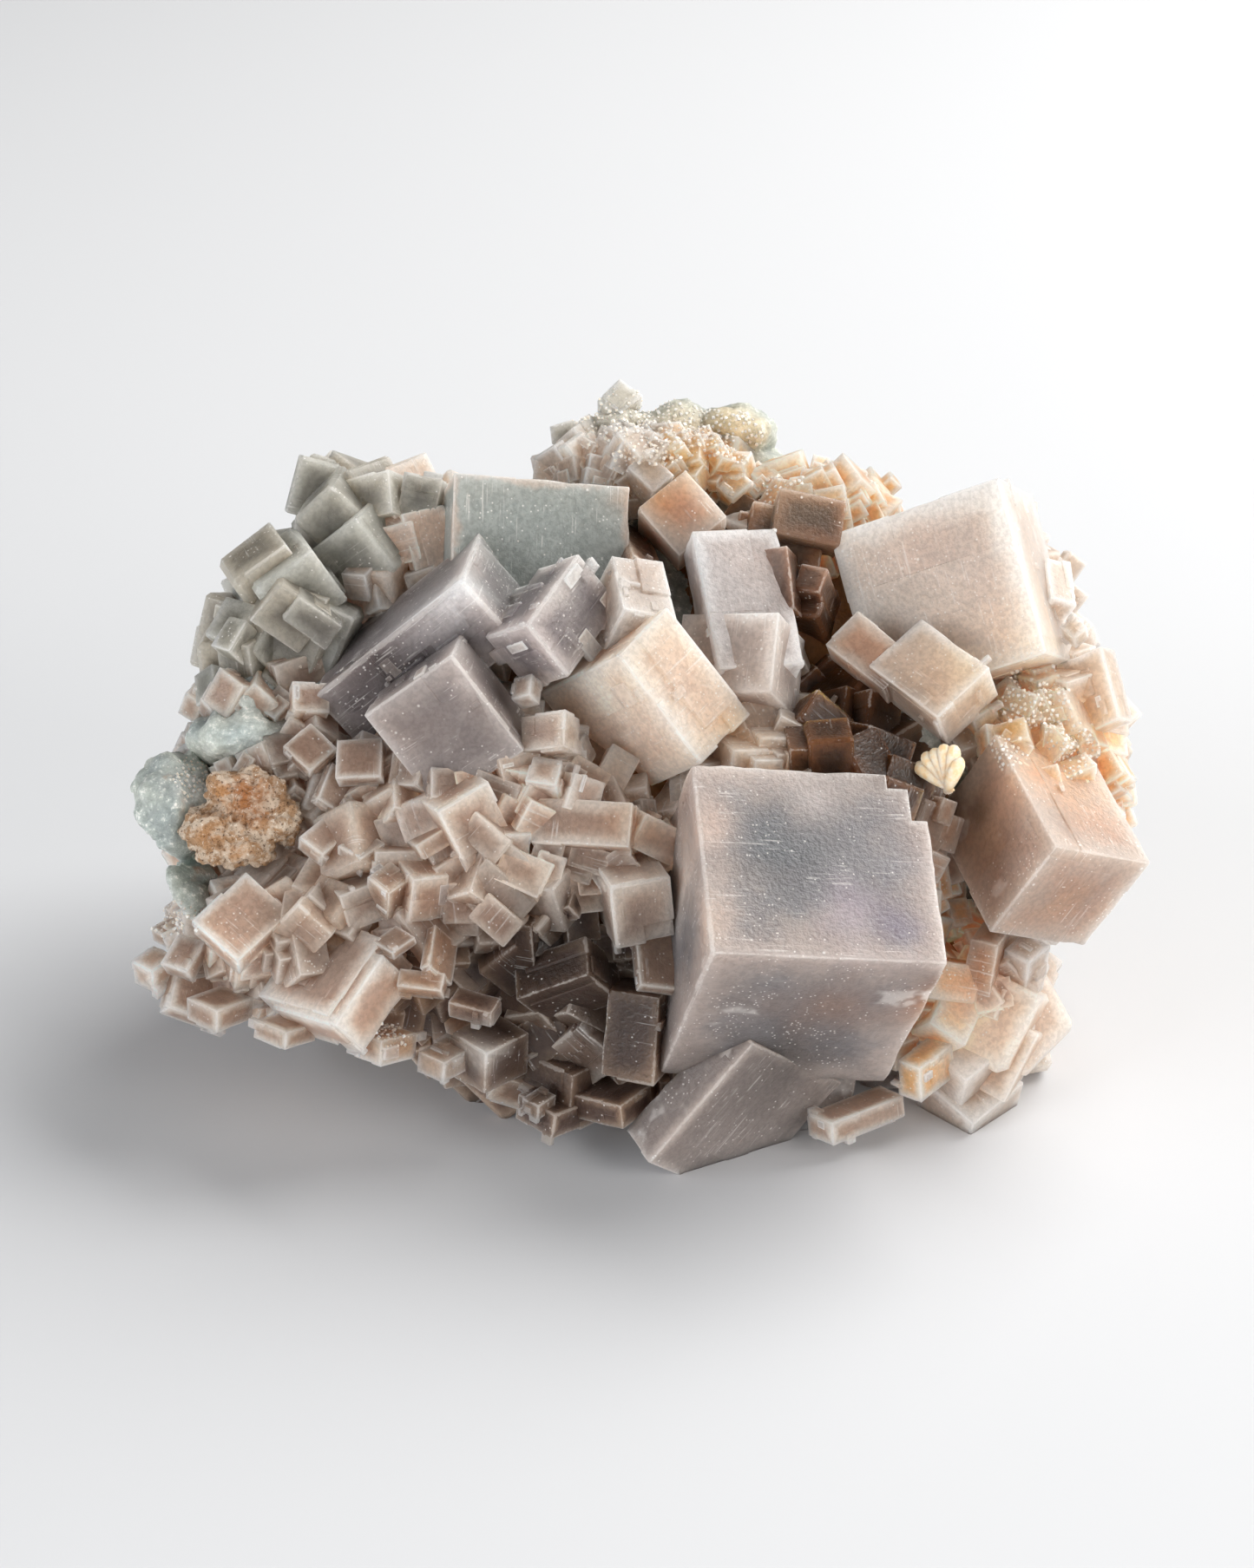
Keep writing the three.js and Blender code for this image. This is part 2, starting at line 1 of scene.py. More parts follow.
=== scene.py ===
"""A fluorite specimen, dressed for rendering: frosted intergrown cubes on pale green rock.

Lengths in this script are millimetres until a mesh is made, and Blender's metres from then on.
The crystals are placed as the model places them: by where a viewer sees their corners.
"""
import math
from collections import namedtuple
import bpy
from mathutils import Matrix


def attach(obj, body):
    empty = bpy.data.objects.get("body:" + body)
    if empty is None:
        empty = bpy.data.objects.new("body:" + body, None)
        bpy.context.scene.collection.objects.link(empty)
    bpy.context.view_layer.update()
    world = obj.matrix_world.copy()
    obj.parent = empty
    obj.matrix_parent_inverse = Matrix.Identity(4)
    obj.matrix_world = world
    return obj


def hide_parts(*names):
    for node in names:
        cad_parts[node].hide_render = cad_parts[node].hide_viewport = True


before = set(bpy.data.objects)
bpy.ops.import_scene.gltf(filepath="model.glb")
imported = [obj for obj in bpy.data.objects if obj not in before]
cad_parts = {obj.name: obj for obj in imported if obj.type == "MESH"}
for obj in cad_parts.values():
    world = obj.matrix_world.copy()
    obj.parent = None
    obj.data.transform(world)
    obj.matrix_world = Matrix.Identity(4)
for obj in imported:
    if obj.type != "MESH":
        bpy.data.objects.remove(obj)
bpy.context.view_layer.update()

from copy import copy

import bmesh
import bpy
import numpy as np
from mathutils import Quaternion, Vector

MM = 0.001

# The viewer's picture and place, as in the model
PICTURE_WIDTH = 1445
PICTURE_HEIGHT = 1807
PIXEL = 180 / 1180
VIEW_DISTANCE = 700.0
VIEW_PITCH = math.radians(28)
AIM = Vector((-1.8, -6.3, 53.0))
ACROSS = Vector((1, 0, 0))
UPWARD = Vector((0, math.sin(VIEW_PITCH), math.cos(VIEW_PITCH)))
TOWARD = Vector((0, -math.cos(VIEW_PITCH), math.sin(VIEW_PITCH)))
VIEWER = np.array([ACROSS, UPWARD, TOWARD])
EYE = AIM + TOWARD * VIEW_DISTANCE
TO_MIDDLE = Vector((-1.8, -6.3, 0))

# How a crystal is coloured: at its rims, in its middle, how far in the rim reaches as a share of
# half its size, and how much iron it has caught. The pale rims are partly the crystal's own zoning
# and partly painted glow where thin edges let light through, and the darker middles partly painted
# shade. Then how many growth steps its faces carry, how high those are in millimetres, how many
# flakes lie on it, and how dusty it is.
Tint = namedtuple("Tint", "rim core reach rust steps step flakes dust")
GREAT = Tint("bbb2af", "86868b", 0.75, 0.02, 0, 0.3, 0, 1.0)
SLAB = Tint("b4aba7", "958e8c", 0.5, 0.0, 4, 0.2, 0, 0.9)
RIGHT = Tint("c6b4a7", "b3917c", 0.95, 0.15, 3, 0.25, 0, 1.1)
CAP = Tint("e6ded5", "cdbeb1", 0.6, 0.15, 5, 0.25, 12, 1.7)
PALE = Tint("ece1d8", "cdbaab", 0.6, 0.1, 5, 0.3, 6, 1.0)
COLUMN = Tint("eee6e2", "c5bcb8", 0.6, 0.02, 4, 0.2, 6, 1.2)
BROWN = Tint("c7a48a", "7c5a45", 0.6, 0.1, 4, 0.3, 3, 0.7)
# Crystals in the dark recesses: their brown deepened with painted shade
DEEP_IN_SHADE = Tint("6f4423", "42260f", 0.7, 0.1, 2, 0.3, 2, 0.45)
BACK = Tint("c8b8ac", "a9b0ae", 0.28, 0.0, 2, 0.15, 3, 0.8)
CLEAR = Tint("c3bbb9", "989090", 0.8, 0.0, 5, 0.4, 26, 1.5)
BROKEN = Tint("c2baba", "868083", 0.7, 0.0, 14, 1.3, 55, 1.8)
WARM = Tint("dfd3c8", "c9b8aa", 0.8, 0.05, 7, 0.5, 22, 1.1)
FIELD = Tint("f0dfd0", "b89d8c", 0.8, 0.15, 4, 0.7, 4, 0.8)
# A darker copy of the field's tint, for crystals in the hollow and low at the front: painted shade
FIELD_IN_SHADE = Tint("a8917f", "6b5850", 0.7, 0.05, 3, 0.5, 3, 0.5)
GREENISH = Tint("bfbcb1", "908d83", 0.8, 0.1, 3, 0.6, 3, 0.7)
ORANGE = Tint("ffead4", "f2b684", 0.8, 0.35, 2, 0.5, 4, 0.8)
FLAKE = Tint("f3eeea", "ddd4ce", 0.9, 0.0, 0, 0.1, 0, 1.0)

# Each crystal: the pixel of its near corner, the pixels where the edges that leave it end, and
# how far the corner lies in front of AIM.
SEEN = [
    (GREAT, (823, 1098), ((1092, 1110), (800, 880), (762, 1237)), 50),
    (SLAB, (867, 1203), ((748, 1340), (970, 1248), (838, 1166)), 26),
    (RIGHT, (1217, 976), ((1141, 1073), (1326, 995), (1147, 847)), 30),
    (CAP, (1205, 752), ((1150, 552), (1010, 814), (1243, 764)), 12),
    (PALE, (1080, 826), ((1002, 767), (1140, 770), (1092, 857)), 20),
    (RIGHT, (1018, 795), ((952, 742), (1055, 757), (1024, 812)), 12),
    (COLUMN, (829, 770), ((798, 613), (927, 764), (817, 795)), 14),
    (COLUMN, (888, 797), ((898, 706), (776, 798), (917, 828)), 17),
    # crystals in the dark recesses, in painted shade
    (DEEP_IN_SHADE, (915, 700), ((907, 628), (948, 735), (888, 705)), 6),
    (DEEP_IN_SHADE, (1000, 868), ((925, 838), (1062, 830), (1004, 900)), 12),
    (DEEP_IN_SHADE, (940, 850), ((900, 838), (965, 815), (944, 885)), 12),
    (RIGHT, (872, 850), ((878, 812), (898, 868), (858, 862)), 14),
    (RIGHT, (845, 830), ((824, 814), (864, 812), (846, 862)), 11),
    (RIGHT, (800, 830), ((778, 792), (822, 822), (806, 866)), 10),
    (BACK, (519, 690), ((524, 545), (722, 705), (505, 712)), 4),
    (BROWN, (730, 640), ((700, 556), (766, 660), (712, 670)), 4),
    (RIGHT, (783, 640), ((735, 585), (838, 595), (782, 690)), -2),
    (PALE, (880, 615), ((832, 598), (945, 588), (884, 645)), -4),
    (BROKEN, (532, 672), ((366, 803), (596, 742), (553, 620)), 20),
    (CLEAR, (520, 757), ((421, 825), (603, 864), (533, 728)), 27),
    (BROKEN, (608, 720), ((563, 735), (655, 778), (666, 640)), 25),
    (WARM, (720, 702), ((705, 640), (777, 712), (690, 760)), 20),
    (WARM, (713, 755), ((625, 800), (808, 878), (768, 702)), 27),
    (FIELD, (610, 800), ((590, 806), (613, 776), (622, 812)), 23),
    (FIELD, (650, 860), ((600, 866), (650, 820), (668, 868)), 25),
    (FIELD, (640, 905), ((606, 900), (648, 876), (645, 925)), 25),
    (FIELD, (386, 1181), ((441, 1101), (316, 1160), (420, 1212)), 33),
    (FIELD, (378, 1171), ((440, 1080), (300, 1147), (412, 1204)), 31),
    (FIELD, (274, 1108), ((222, 1062), (335, 1050), (276, 1122)), 26),
    (FIELD, (195, 1160), ((206, 1110), (250, 1180), (183, 1168)), 14),
    (FIELD, (215, 1120), ((235, 1085), (186, 1110), (222, 1132)), 17),
    (FIELD, (357, 889), ((327, 860), (388, 862), (357, 897)), 15),
    (FIELD, (438, 894), ((440, 850), (386, 897), (443, 904)), 19),
    (FIELD, (366, 920), ((383, 879), (396, 939), (358, 924)), 17),
    (FIELD, (397, 956), ((396, 920), (426, 962), (390, 963)), 19),
    (FIELD, (455, 930), ((453, 898), (484, 938), (440, 945)), 21),
    (FIELD, (478, 905), ((486, 878), (455, 903), (492, 915)), 20),
    (FIELD, (505, 935), ((561, 902), (539, 1002), (481, 920)), 28),
    (FIELD, (497, 918), ((497, 884), (552, 923), (492, 926)), 23),
    (FIELD, (574, 963), ((612, 962), (571, 996), (566, 948)), 26),
    (FIELD, (724, 976), ((729, 925), (612, 970), (732, 988)), 27),
    (FIELD, (619, 1034), ((637, 997), (566, 1010), (621, 1052)), 27),
    (FIELD, (704, 1024), ((672, 975), (770, 1010), (712, 1092)), 30),
    (FIELD, (738, 1135), ((730, 1045), (790, 1141), (732, 1143)), 28),
    # crystals in the hollow, in painted shade
    (FIELD_IN_SHADE, (655, 1045), ((663, 1022), (640, 1050), (668, 1058)), 25),
    (FIELD_IN_SHADE, (612, 1068), ((572, 1062), (616, 1118), (622, 1050)), 24),
    (FIELD_IN_SHADE, (678, 1123), ((595, 1152), (675, 1080), (714, 1152)), 26),
    (FIELD_IN_SHADE, (760, 1150), ((700, 1140), (752, 1250), (790, 1120)), 24),
    (FIELD_IN_SHADE, (566, 1168), ((517, 1155), (577, 1150), (566, 1185)), 27),
    (FIELD, (494, 1112), ((502, 1066), (520, 1135), (484, 1116)), 29),
    (FIELD, (508, 1142), ((457, 1136), (512, 1122), (512, 1152)), 29),
    (FIELD, (452, 1098), ((430, 1085), (478, 1080), (454, 1106)), 29),
    (FIELD, (476, 1014), ((459, 992), (516, 1010), (471, 1062)), 27),
    (FIELD, (448, 1030), ((425, 1012), (474, 1012), (446, 1062)), 27),
    (FIELD, (415, 990), ((392, 975), (442, 972), (414, 1008)), 23),
    (FIELD, (372, 985), ((345, 965), (404, 958), (370, 998)), 21),
    # crystals low at the front, in painted shade
    (FIELD_IN_SHADE, (660, 1240), ((600, 1215), (735, 1205), (655, 1305)), 16),
    (FIELD_IN_SHADE, (560, 1215), ((520, 1190), (610, 1190), (558, 1262)), 22),
    (PALE, (512, 1225), ((482, 1212), (543, 1208), (510, 1248)), 23),
    (PALE, (620, 1275), ((602, 1266), (640, 1262), (620, 1290)), 18),
    (FIELD, (250, 1165), ((215, 1150), (290, 1150), (250, 1190)), 20),
    (FIELD, (330, 1190), ((295, 1175), (365, 1180), (328, 1210)), 24),
    (FIELD, (440, 1200), ((410, 1190), (480, 1190), (438, 1228)), 27),
    (FIELD, (175, 1120), ((152, 1108), (200, 1102), (178, 1145)), 14),
    # crystals low at the front, in painted shade
    (FIELD_IN_SHADE, (640, 1285), ((598, 1262), (700, 1262), (636, 1312)), 17),
    (FIELD_IN_SHADE, (715, 1275), ((660, 1262), (750, 1250), (718, 1302)), 19),
    (GREENISH, (452, 590), ((402, 604), (447, 541), (480, 600)), -6),
    (GREENISH, (500, 600), ((458, 592), (500, 552), (520, 615)), -8),
    (PALE, (482, 664), ((463, 593), (530, 652), (470, 676)), -6),
    (PALE, (437, 700), ((425, 632), (480, 700), (415, 712)), -3),
    (BROWN, (385, 690), ((345, 672), (405, 655), (388, 705)), -8),
    (GREENISH, (712, 480), ((688, 462), (738, 455), (712, 505)), -24),
    (GREENISH, (665, 512), ((638, 520), (662, 484), (700, 525)), -22),
    (PALE, (722, 562), ((678, 522), (757, 540), (724, 575)), -16),
    (PALE, (812, 552), ((788, 552), (826, 520), (822, 566)), -18),
    (PALE, (782, 538), ((765, 525), (800, 518), (783, 546)), -20),
    (ORANGE, (845, 575), ((825, 560), (868, 556), (846, 590)), -14),
    (ORANGE, (880, 560), ((862, 545), (902, 548), (878, 590)), -17),
    (PALE, (985, 584), ((892, 570), (1003, 562), (984, 600)), -16),
    (ORANGE, (760, 580), ((738, 570), (790, 562), (762, 592)), -14),
    (PALE, (1212, 690), ((1205, 642), (1240, 697), (1195, 715)), 0),
    (PALE, (1290, 828), ((1268, 745), (1306, 832), (1240, 850)), 6),
    (PALE, (1238, 735), ((1222, 722), (1253, 722), (1240, 748)), 4),
    (RIGHT, (1150, 1090), ((1118, 1082), (1140, 1150), (1165, 1070)), 12),
    (PALE, (1185, 1110), ((1158, 1095), (1180, 1160), (1208, 1090)), 9),
    (ORANGE, (1060, 1232), ((1034, 1222), (1098, 1203), (1062, 1270)), 14),
    (FIELD, (958, 1295), ((930, 1283), (1042, 1262), (960, 1320)), 14),
]

# The great cube's stepped upper right corner: the share of each edge where a step starts
GREAT_CUBE_STEPS = ((0.84, 0.92), (0.93, 0.75))
# The growth strips on its left face: how proud each is, and where it starts and ends, as shares of
# the way back from the front
GREAT_CUBE_STRIPS = ((0.55, 0.00, 0.30), (0.40, 0.24, 0.52), (0.25, 0.45, 0.80))

# Lumps that carry the crystals: pixel, how far forward, and radii across, up and deep
BODY_LUMPS = [
    ((600, 980), -14, (46, 30, 36)),
    ((900, 990), -10, (32, 30, 34)),
    ((640, 770), -32, (38, 26, 32)),
    ((880, 740), -30, (32, 24, 28)),
    ((1110, 740), -20, (19, 24, 22)),
    ((1090, 870), -18, (20, 18, 22)),
    ((1180, 900), -16, (17, 22, 26)),
    ((700, 1180), -8, (33, 15, 20)),
    ((410, 1080), -4, (31, 15, 26)),
    ((370, 910), -18, (25, 24, 28)),
    ((1085, 1140), -12, (16, 16, 18)),
    ((860, 1240), 2, (14, 10, 16)),
    ((745, 555), -27, (19, 10, 14)),
    ((450, 660), -24, (15, 15, 18)),
    ((930, 590), -26, (14, 8, 14)),
    ((1000, 830), -20, (18, 14, 22)),
]

# Pale green rock: its lobes where the viewer sees them, its mass behind, and the broken faces that
# end it, by the way each looks and how far out it lies
RIM_LUMPS = [
    ((198, 935), -2, (7.6, 10.2, 14)),
    ((285, 850), -3, (10.4, 5.2, 13)),
    ((290, 805), -8, (8.4, 5, 14)),
    ((204, 1045), 2, (8.2, 8.5, 14)),
    ((190, 1105), 4, (6, 5.6, 11)),
    ((308, 745), -16, (8.2, 8, 17)),
    ((345, 700), -14, (7, 8.4, 16)),
    ((326, 680), -24, (5.4, 7.4, 12)),
    ((398, 612), -22, (6.6, 9.4, 13)),
    ((705, 490), -36, (8, 7, 12)),
    ((770, 505), -36, (9, 6.6, 12)),
    ((845, 500), -36, (8, 5.6, 12)),
    ((800, 570), -38, (22, 11, 15)),
]
BACK_LUMPS = [
    ((-4, 38, 42), (72, 36, 42)),
    ((-2, 24, 12), (62, 38, 20)),
    ((-50, 22, 42), (32, 30, 30)),
    ((52, 26, 40), (28, 32, 36)),
    ((14, 50, 72), (30, 16, 20)),
    ((48, 44, 57), (13, 14, 18)),
]
ROCK_MIDDLE = Vector((0, 25, 42))
# How far inside the model's broken faces these are cut, to leave room for the relief
ROOM_FOR_RELIEF = 0.6
BROKEN_FACES = [
    ((0.1, 1, 0), 38),
    ((-0.75, 0.65, 0.1), 58),
    ((0.8, 0.6, 0.05), 58),
    ((-0.15, 0.6, 0.8), 65),
    ((0.2, 0.65, -0.75), 44),
    ((-0.8, 0.1, -0.6), 58),
    ((0.8, 0.1, -0.6), 58),
]

# The rusty crust and the fan of blades. A place on the fan is a pixel and how far forward it lies.
CRUST_LUMPS = [
    ((282, 915), 11, (7, 4.6, 6)),
    ((250, 955), 12, (6, 4.4, 6)),
    ((316, 945), 12, (5.4, 4, 5)),
    ((270, 980), 13, (6.4, 3.4, 5)),
]
FAN_FOOT = ((1092, 906), 17)
FAN_TIPS = ((1054, 880), (1064, 867), (1075, 862), (1087, 857), (1100, 858), (1107, 872))
FAN_BLADE_WIDE = 1.85
FAN_BLADE_THICK = 1.5
FAN_BLADE_TILT = 0.8

# Small crystals strewn over the body: tint, patch of the picture, how many, edges, how far out
STREWN = [
    (
        FIELD,
        (
            (230, 1010), (330, 970), (400, 850), (560, 880),
            (780, 900), (780, 1230), (600, 1250), (300, 1175),
        ),
        26, (6, 11), (-2.5, 0.5),
    ),
    (
        ORANGE,
        ((1120, 790), (1270, 770), (1270, 900), (1220, 930), (1120, 870)),
        10, (4, 7), (-1, 1),
    ),
    (FIELD, ((300, 760), (370, 710), (360, 800), (350, 830), (310, 830)), 3, (5, 9), (0, 3)),
    (FIELD, ((1040, 1190), (1160, 1100), (1170, 1150), (1080, 1250)), 5, (5, 8), (-1, 1)),
    (PALE, ((660, 520), (840, 530), (860, 590), (700, 600)), 4, (5, 8), (-1, 1)),
]
STREWN_SEED = 4410

# The small crystals that cover the body between the placed ones: how each part of the picture is
# tinted, and how large they are there, in millimetres along an edge
GROUND = [
    (FIELD, (330, 1080), (5.0, 10.0)),
    (FIELD, (450, 960), (5.5, 10.5)),
    (FIELD, (600, 1000), (6.0, 12.0)),
    # the hollow and the low front, in painted shade
    (FIELD_IN_SHADE, (650, 1130), (7.0, 14.0)),
    (FIELD_IN_SHADE, (560, 1230), (6.0, 12.0)),
    (FIELD_IN_SHADE, (700, 1270), (5.0, 10.0)),
    (FIELD, (310, 830), (4.0, 7.0)),
    (GREENISH, (290, 740), (6.0, 12.0)),
    (GREENISH, (330, 680), (7.0, 13.0)),
    (GREENISH, (400, 600), (8.0, 13.0)),
    (PALE, (460, 640), (6.0, 11.0)),
    (PALE, (560, 800), (4.0, 8.0)),
    (CLEAR, (700, 700), (6.0, 12.0)),
    # the dark recesses, in painted shade
    (DEEP_IN_SHADE, (860, 640), (7.0, 14.0)),
    (DEEP_IN_SHADE, (1010, 840), (9.0, 18.0)),
    (WARM, (860, 845), (4.0, 8.0)),
    (PALE, (700, 520), (2.5, 6.5)),
    (ORANGE, (800, 550), (2.5, 6.5)),
    (ORANGE, (930, 570), (3.0, 7.0)),
    (ORANGE, (1180, 820), (3.0, 7.0)),
    (ORANGE, (1240, 880), (3.0, 7.0)),
    (PALE, (1260, 780), (5.0, 10.0)),
    (RIGHT, (1150, 900), (5.0, 10.0)),
    (ORANGE, (1085, 1140), (4.0, 9.0)),
    (PALE, (1150, 1160), (9.0, 17.0)),
    (SLAB, (960, 1270), (7.0, 14.0)),
]
GROUND_SEED = 911
# The rock's lumps at the rim that crystals cover too
CRYSTALLINE_RIM = (2, 5, 6, 7, 8)
# How near two of these crystals may grow, as a share of their mean size
GROUND_SPACING = 0.61
# One spot is tried for each so many square millimetres of a lump, down to this height
SPOT_AREA = 5
LOWEST_SPOT = 1.5
# A placed crystal with more than this for half its size is large, and spots stay clear of it. A
# small one may have spots a little inside it.
LARGE_HALF = 6
CLEAR_OF_LARGE = 2.2
CLEAR_OF_SMALL = -0.8
# How near its neighbour a crystal may grow parallel to it, and how often it does
PARALLEL_WITHIN = 9
PARALLEL_SHARE = 0.5
# How much deeper than the model's body this one lies under its small crystals, in millimetres, and
# how much deeper the lump behind the slab, which would come through the slab's face
BODY_DEEPER = 1.2
SLAB_LUMP = 11
SLAB_LUMP_DEEPER = 6
# The body's colour where it shows between the crystals: orange-brown, partly rust and partly a
# painted warm glow in the crevices
BODY_COLOUR = "94602f"
# How far under the rock's broken back the body ends, in millimetres
UNDER_BREAK = 2.5
# The share of the flakes on the large crystals that are broken and white
WHITE_FLAKES = 0.12
# The largest softened edge, its share of a crystal's half size, and the widest face cell of a
# crystal with more than BIG_HALF for half its size, and of a smaller one
EDGE = 0.45
EDGE_SHARE = 0.06
BIG_HALF = 9
BIG_CELL = 2.0
SMALL_CELL = 2.8
# An edge never takes up more than this share of a block's thinnest half
MOST_OF_HALF = 0.3
# Seeds of the crystals' plates and flakes, of their shades, and of the sugar
PLATE_SEED = 77
SHADE_SEED = 5
SUGAR_SEED = 12
# How finely lumps are divided, and the even meshes of the rock and the crust, in millimetres
BODY_DETAIL = 3
LUMP_DETAIL = 4
ROCK_MESH = 0.95
CRUST_MESH = 0.42
# Layers of roughness: height and width in millimetres, and seed
ROCK_ROUGH = ((0.9, 11, 4), (0.35, 2.6, 6), (0.15, 1.3, 7))
CRUST_ROUGH = ((1.3, 3.1, 2), (0.6, 1.0, 3))
# Fluorite's refractive index
FLUORITE_IOR = 1.434
# Edges that turn by more than so many degrees are sharp
SHARP_ANGLE = 32

# The stage: half the floor's side in millimetres, and the lights by place and size in metres,
# watts, colour, and whether they are mirrored in the crystals
FLOOR_HALF = 3000
FLOOR_COLOUR = (0.615, 0.627, 0.648, 1)
LIGHTS = (
    ("key_light", (0.75, 0.55, 0.95), (1.2, 1.2), 29, (1.0, 0.98, 0.95), True),
    ("left_fill", (-1.1, -0.6, 0.4), (1.0, 1.0), 12, (0.95, 0.97, 1.0), True),
    ("low_front", (-0.5, -1.05, 0.16), (1.2, 0.22), 6, (1.0, 0.99, 0.97), False),
    ("right_fill", (1.0, -0.75, 0.45), (0.8, 0.8), 11, (1.0, 0.97, 0.93), True),
)
WORLD_COLOUR = (0.95, 0.97, 1.0, 1)
WORLD_STRENGTH = 0.1

# Soft patches of colour inside the crystals: where each is seen, how wide it is in millimetres,
# its colour and how strong it is. Most are the crystals' own tone; those marked below are painted
# shade and painted glow.
PATCHES = [
    # the great cube's grey middle and its pale and lilac clouds, painted glow on its left side, and
    # painted shade with a painted brown glow in its lower face
    ((890, 975), 9.5, "5f6368", 0.8),
    ((1035, 975), 8, "8d8a90", 0.5),
    ((940, 918), 4, "cfc4c1", 0.6),
    ((985, 1045), 6, "b9aab6", 0.6),
    ((1035, 1060), 5, "857d92", 0.6),
    # painted glow: the left side made pale where light comes through the crystal
    ((815, 950), 6, "dcc2b4", 0.6),
    ((800, 1060), 6, "e6cdbc", 0.6),
    ((772, 1010), 7, "f3ddcd", 0.8),
    # painted shade with a painted brown glow in the lower face, darkest low down
    ((960, 1165), 9, "9a7c6c", 0.7),
    ((850, 1160), 8, "968983", 0.5),
    ((900, 1225), 9, "3f3834", 0.8),
    # the right cube: dark behind its left corner, rusty where it meets the sugary crystals
    ((1135, 960), 9, "b28b71", 0.75),
    ((1150, 905), 6, "b08a74", 0.5),
    ((1215, 890), 7, "cdab8f", 0.8),
    ((1180, 1055), 6, "b7937b", 0.5),
    ((1240, 930), 8, "97806f", 0.75),
    # the cap and the tilted crystal before it
    ((1060, 640), 9, "cbb3a4", 0.5),
    ((1140, 690), 8, "e6ded8", 0.7),
    ((1110, 760), 6, "eed6bb", 0.7),
    ((975, 660), 5, "d9c2b2", 0.4),
    ((1080, 785), 6, "e8cbb2", 0.6),
    # the column, the block under it, and the dark cleft and recess, their brown deepened by painted
    # shade
    ((880, 650), 7, "b9a79e", 0.5),
    ((860, 780), 6, "b3a79f", 0.5),
    ((850, 835), 7, "dba877", 0.7),
    # painted shade: the dark brown of the cleft, and below it the recess by the column
    ((1000, 832), 10, "381d08", 0.95),
    ((955, 828), 6, "44260f", 0.9),
    ((1050, 872), 9, "331a08", 0.95),
    ((1120, 930), 3, "201208", 0.9),
    ((920, 690), 5, "54392a", 0.7),
    # the grey-green cube at the back, and the rusty seam at its right
    ((620, 625), 13, "a0a6a3", 0.8),
    ((755, 570), 5, "c9803f", 0.7),
    ((745, 640), 6, "a67f68", 0.5),
    # the large pair at the left, and the clear one in the middle
    ((425, 750), 13, "4a3f3f", 0.9),
    ((548, 668), 4, "f7f5f6", 0.9),
    ((518, 702), 4, "ece8e9", 0.8),
    ((500, 730), 3, "d8d0d0", 0.6),
    ((540, 790), 2.5, "d9d3d0", 0.6),
    ((650, 690), 4, "dcd5cf", 0.6),
    # painted glow: the lower left face of the warm crystal in the middle, made pale as if lit
    # through
    ((690, 815), 7, "fff0e2", 0.9),
    ((600, 1040), 3, "4a372c", 0.7),
    ((410, 620), 10, "6d6157", 0.85),
    ((330, 1050), 6, "94806f", 0.65),
    ((370, 1110), 8, "9d8879", 0.55),
    ((610, 1250), 10, "513f34", 0.85),
    ((535, 760), 9, "a29793", 0.45),
    ((560, 1000), 6, "f1ddcb", 0.4),
    ((560, 825), 6, "8d807a", 0.5),
    ((1120, 1185), 7, "fbe8d5", 0.8),
    ((545, 965), 3, "6a4e3c", 0.6),
    ((470, 850), 9, "a3968f", 0.4),
    ((570, 830), 7, "756a66", 0.5),
    ((765, 832), 7, "eadace", 0.7),
    # the field of small crystals, its shadowed hollow and its rusty foot
    ((620, 1120), 16, "2b1a10", 0.95),
    ((700, 1180), 14, "3d2e26", 0.85),
    ((560, 1180), 8, "5c3a22", 0.6),
    ((500, 1060), 9, "8a5f42", 0.5),
    ((400, 1000), 10, "7c6a5d", 0.4),
    ((330, 870), 7, "4e3424", 0.7),
    ((420, 870), 6, "8c6b55", 0.5),
    ((470, 1185), 8, "c98f5e", 0.6),
    ((740, 930), 8, "c79a78", 0.5),
    ((550, 1210), 5, "f0ece6", 0.7),
    # the crown and the sugary crystals at the right, with painted glow in the orange hollow
    ((700, 470), 6, "e9e2d2", 0.7),
    ((800, 530), 9, "e2c092", 0.5),
    ((930, 570), 8, "ecd9be", 0.6),
    # painted glow: near-white patches where light comes through the orange crystals
    ((1190, 805), 11, "ffe0bf", 0.95),
    ((1240, 855), 9, "ffd3aa", 0.9),
    ((1200, 885), 3, "d98f5c", 0.6),
    ((1165, 830), 4, "e39a48", 0.8),
    # the hollow low at the right: rust-brown, darkest in its middle
    ((1090, 1140), 5, "4f2c14", 0.95),
    ((1075, 1165), 6, "8a5426", 0.8),
    ((1130, 1130), 6, "b9825a", 0.6),
]
# The same for the crust and for the rock
CRUST_PATCHES = [
    ((280, 912), 4.2, "a5622a", 0.95),
    ((250, 925), 2.5, "c48a52", 0.8),
    ((300, 930), 2.5, "a8662c", 0.8),
    ((240, 965), 2.2, "c08a58", 0.7),
    ((275, 980), 2.5, "b98453", 0.6),
]
ROCK_PATCHES = [
    ((705, 470), 7, "dcd8c8", 0.8),
    ((770, 490), 8, "d8cdb4", 0.8),
    ((840, 500), 7, "e6cc9c", 0.7),
    ((190, 960), 9, "98a09e", 0.8),
    ((235, 900), 5, "e4e5e1", 0.6),
    ((280, 860), 7, "b9c3c2", 0.6),
    ((200, 1060), 6, "c6cbc6", 0.5),
    ((180, 1100), 5, "a8896c", 0.6),
    ((290, 760), 9, "8f9a9a", 0.7),
    ((320, 690), 8, "a9aca6", 0.6),
    ((400, 600), 9, "c9cdc5", 0.7),
]
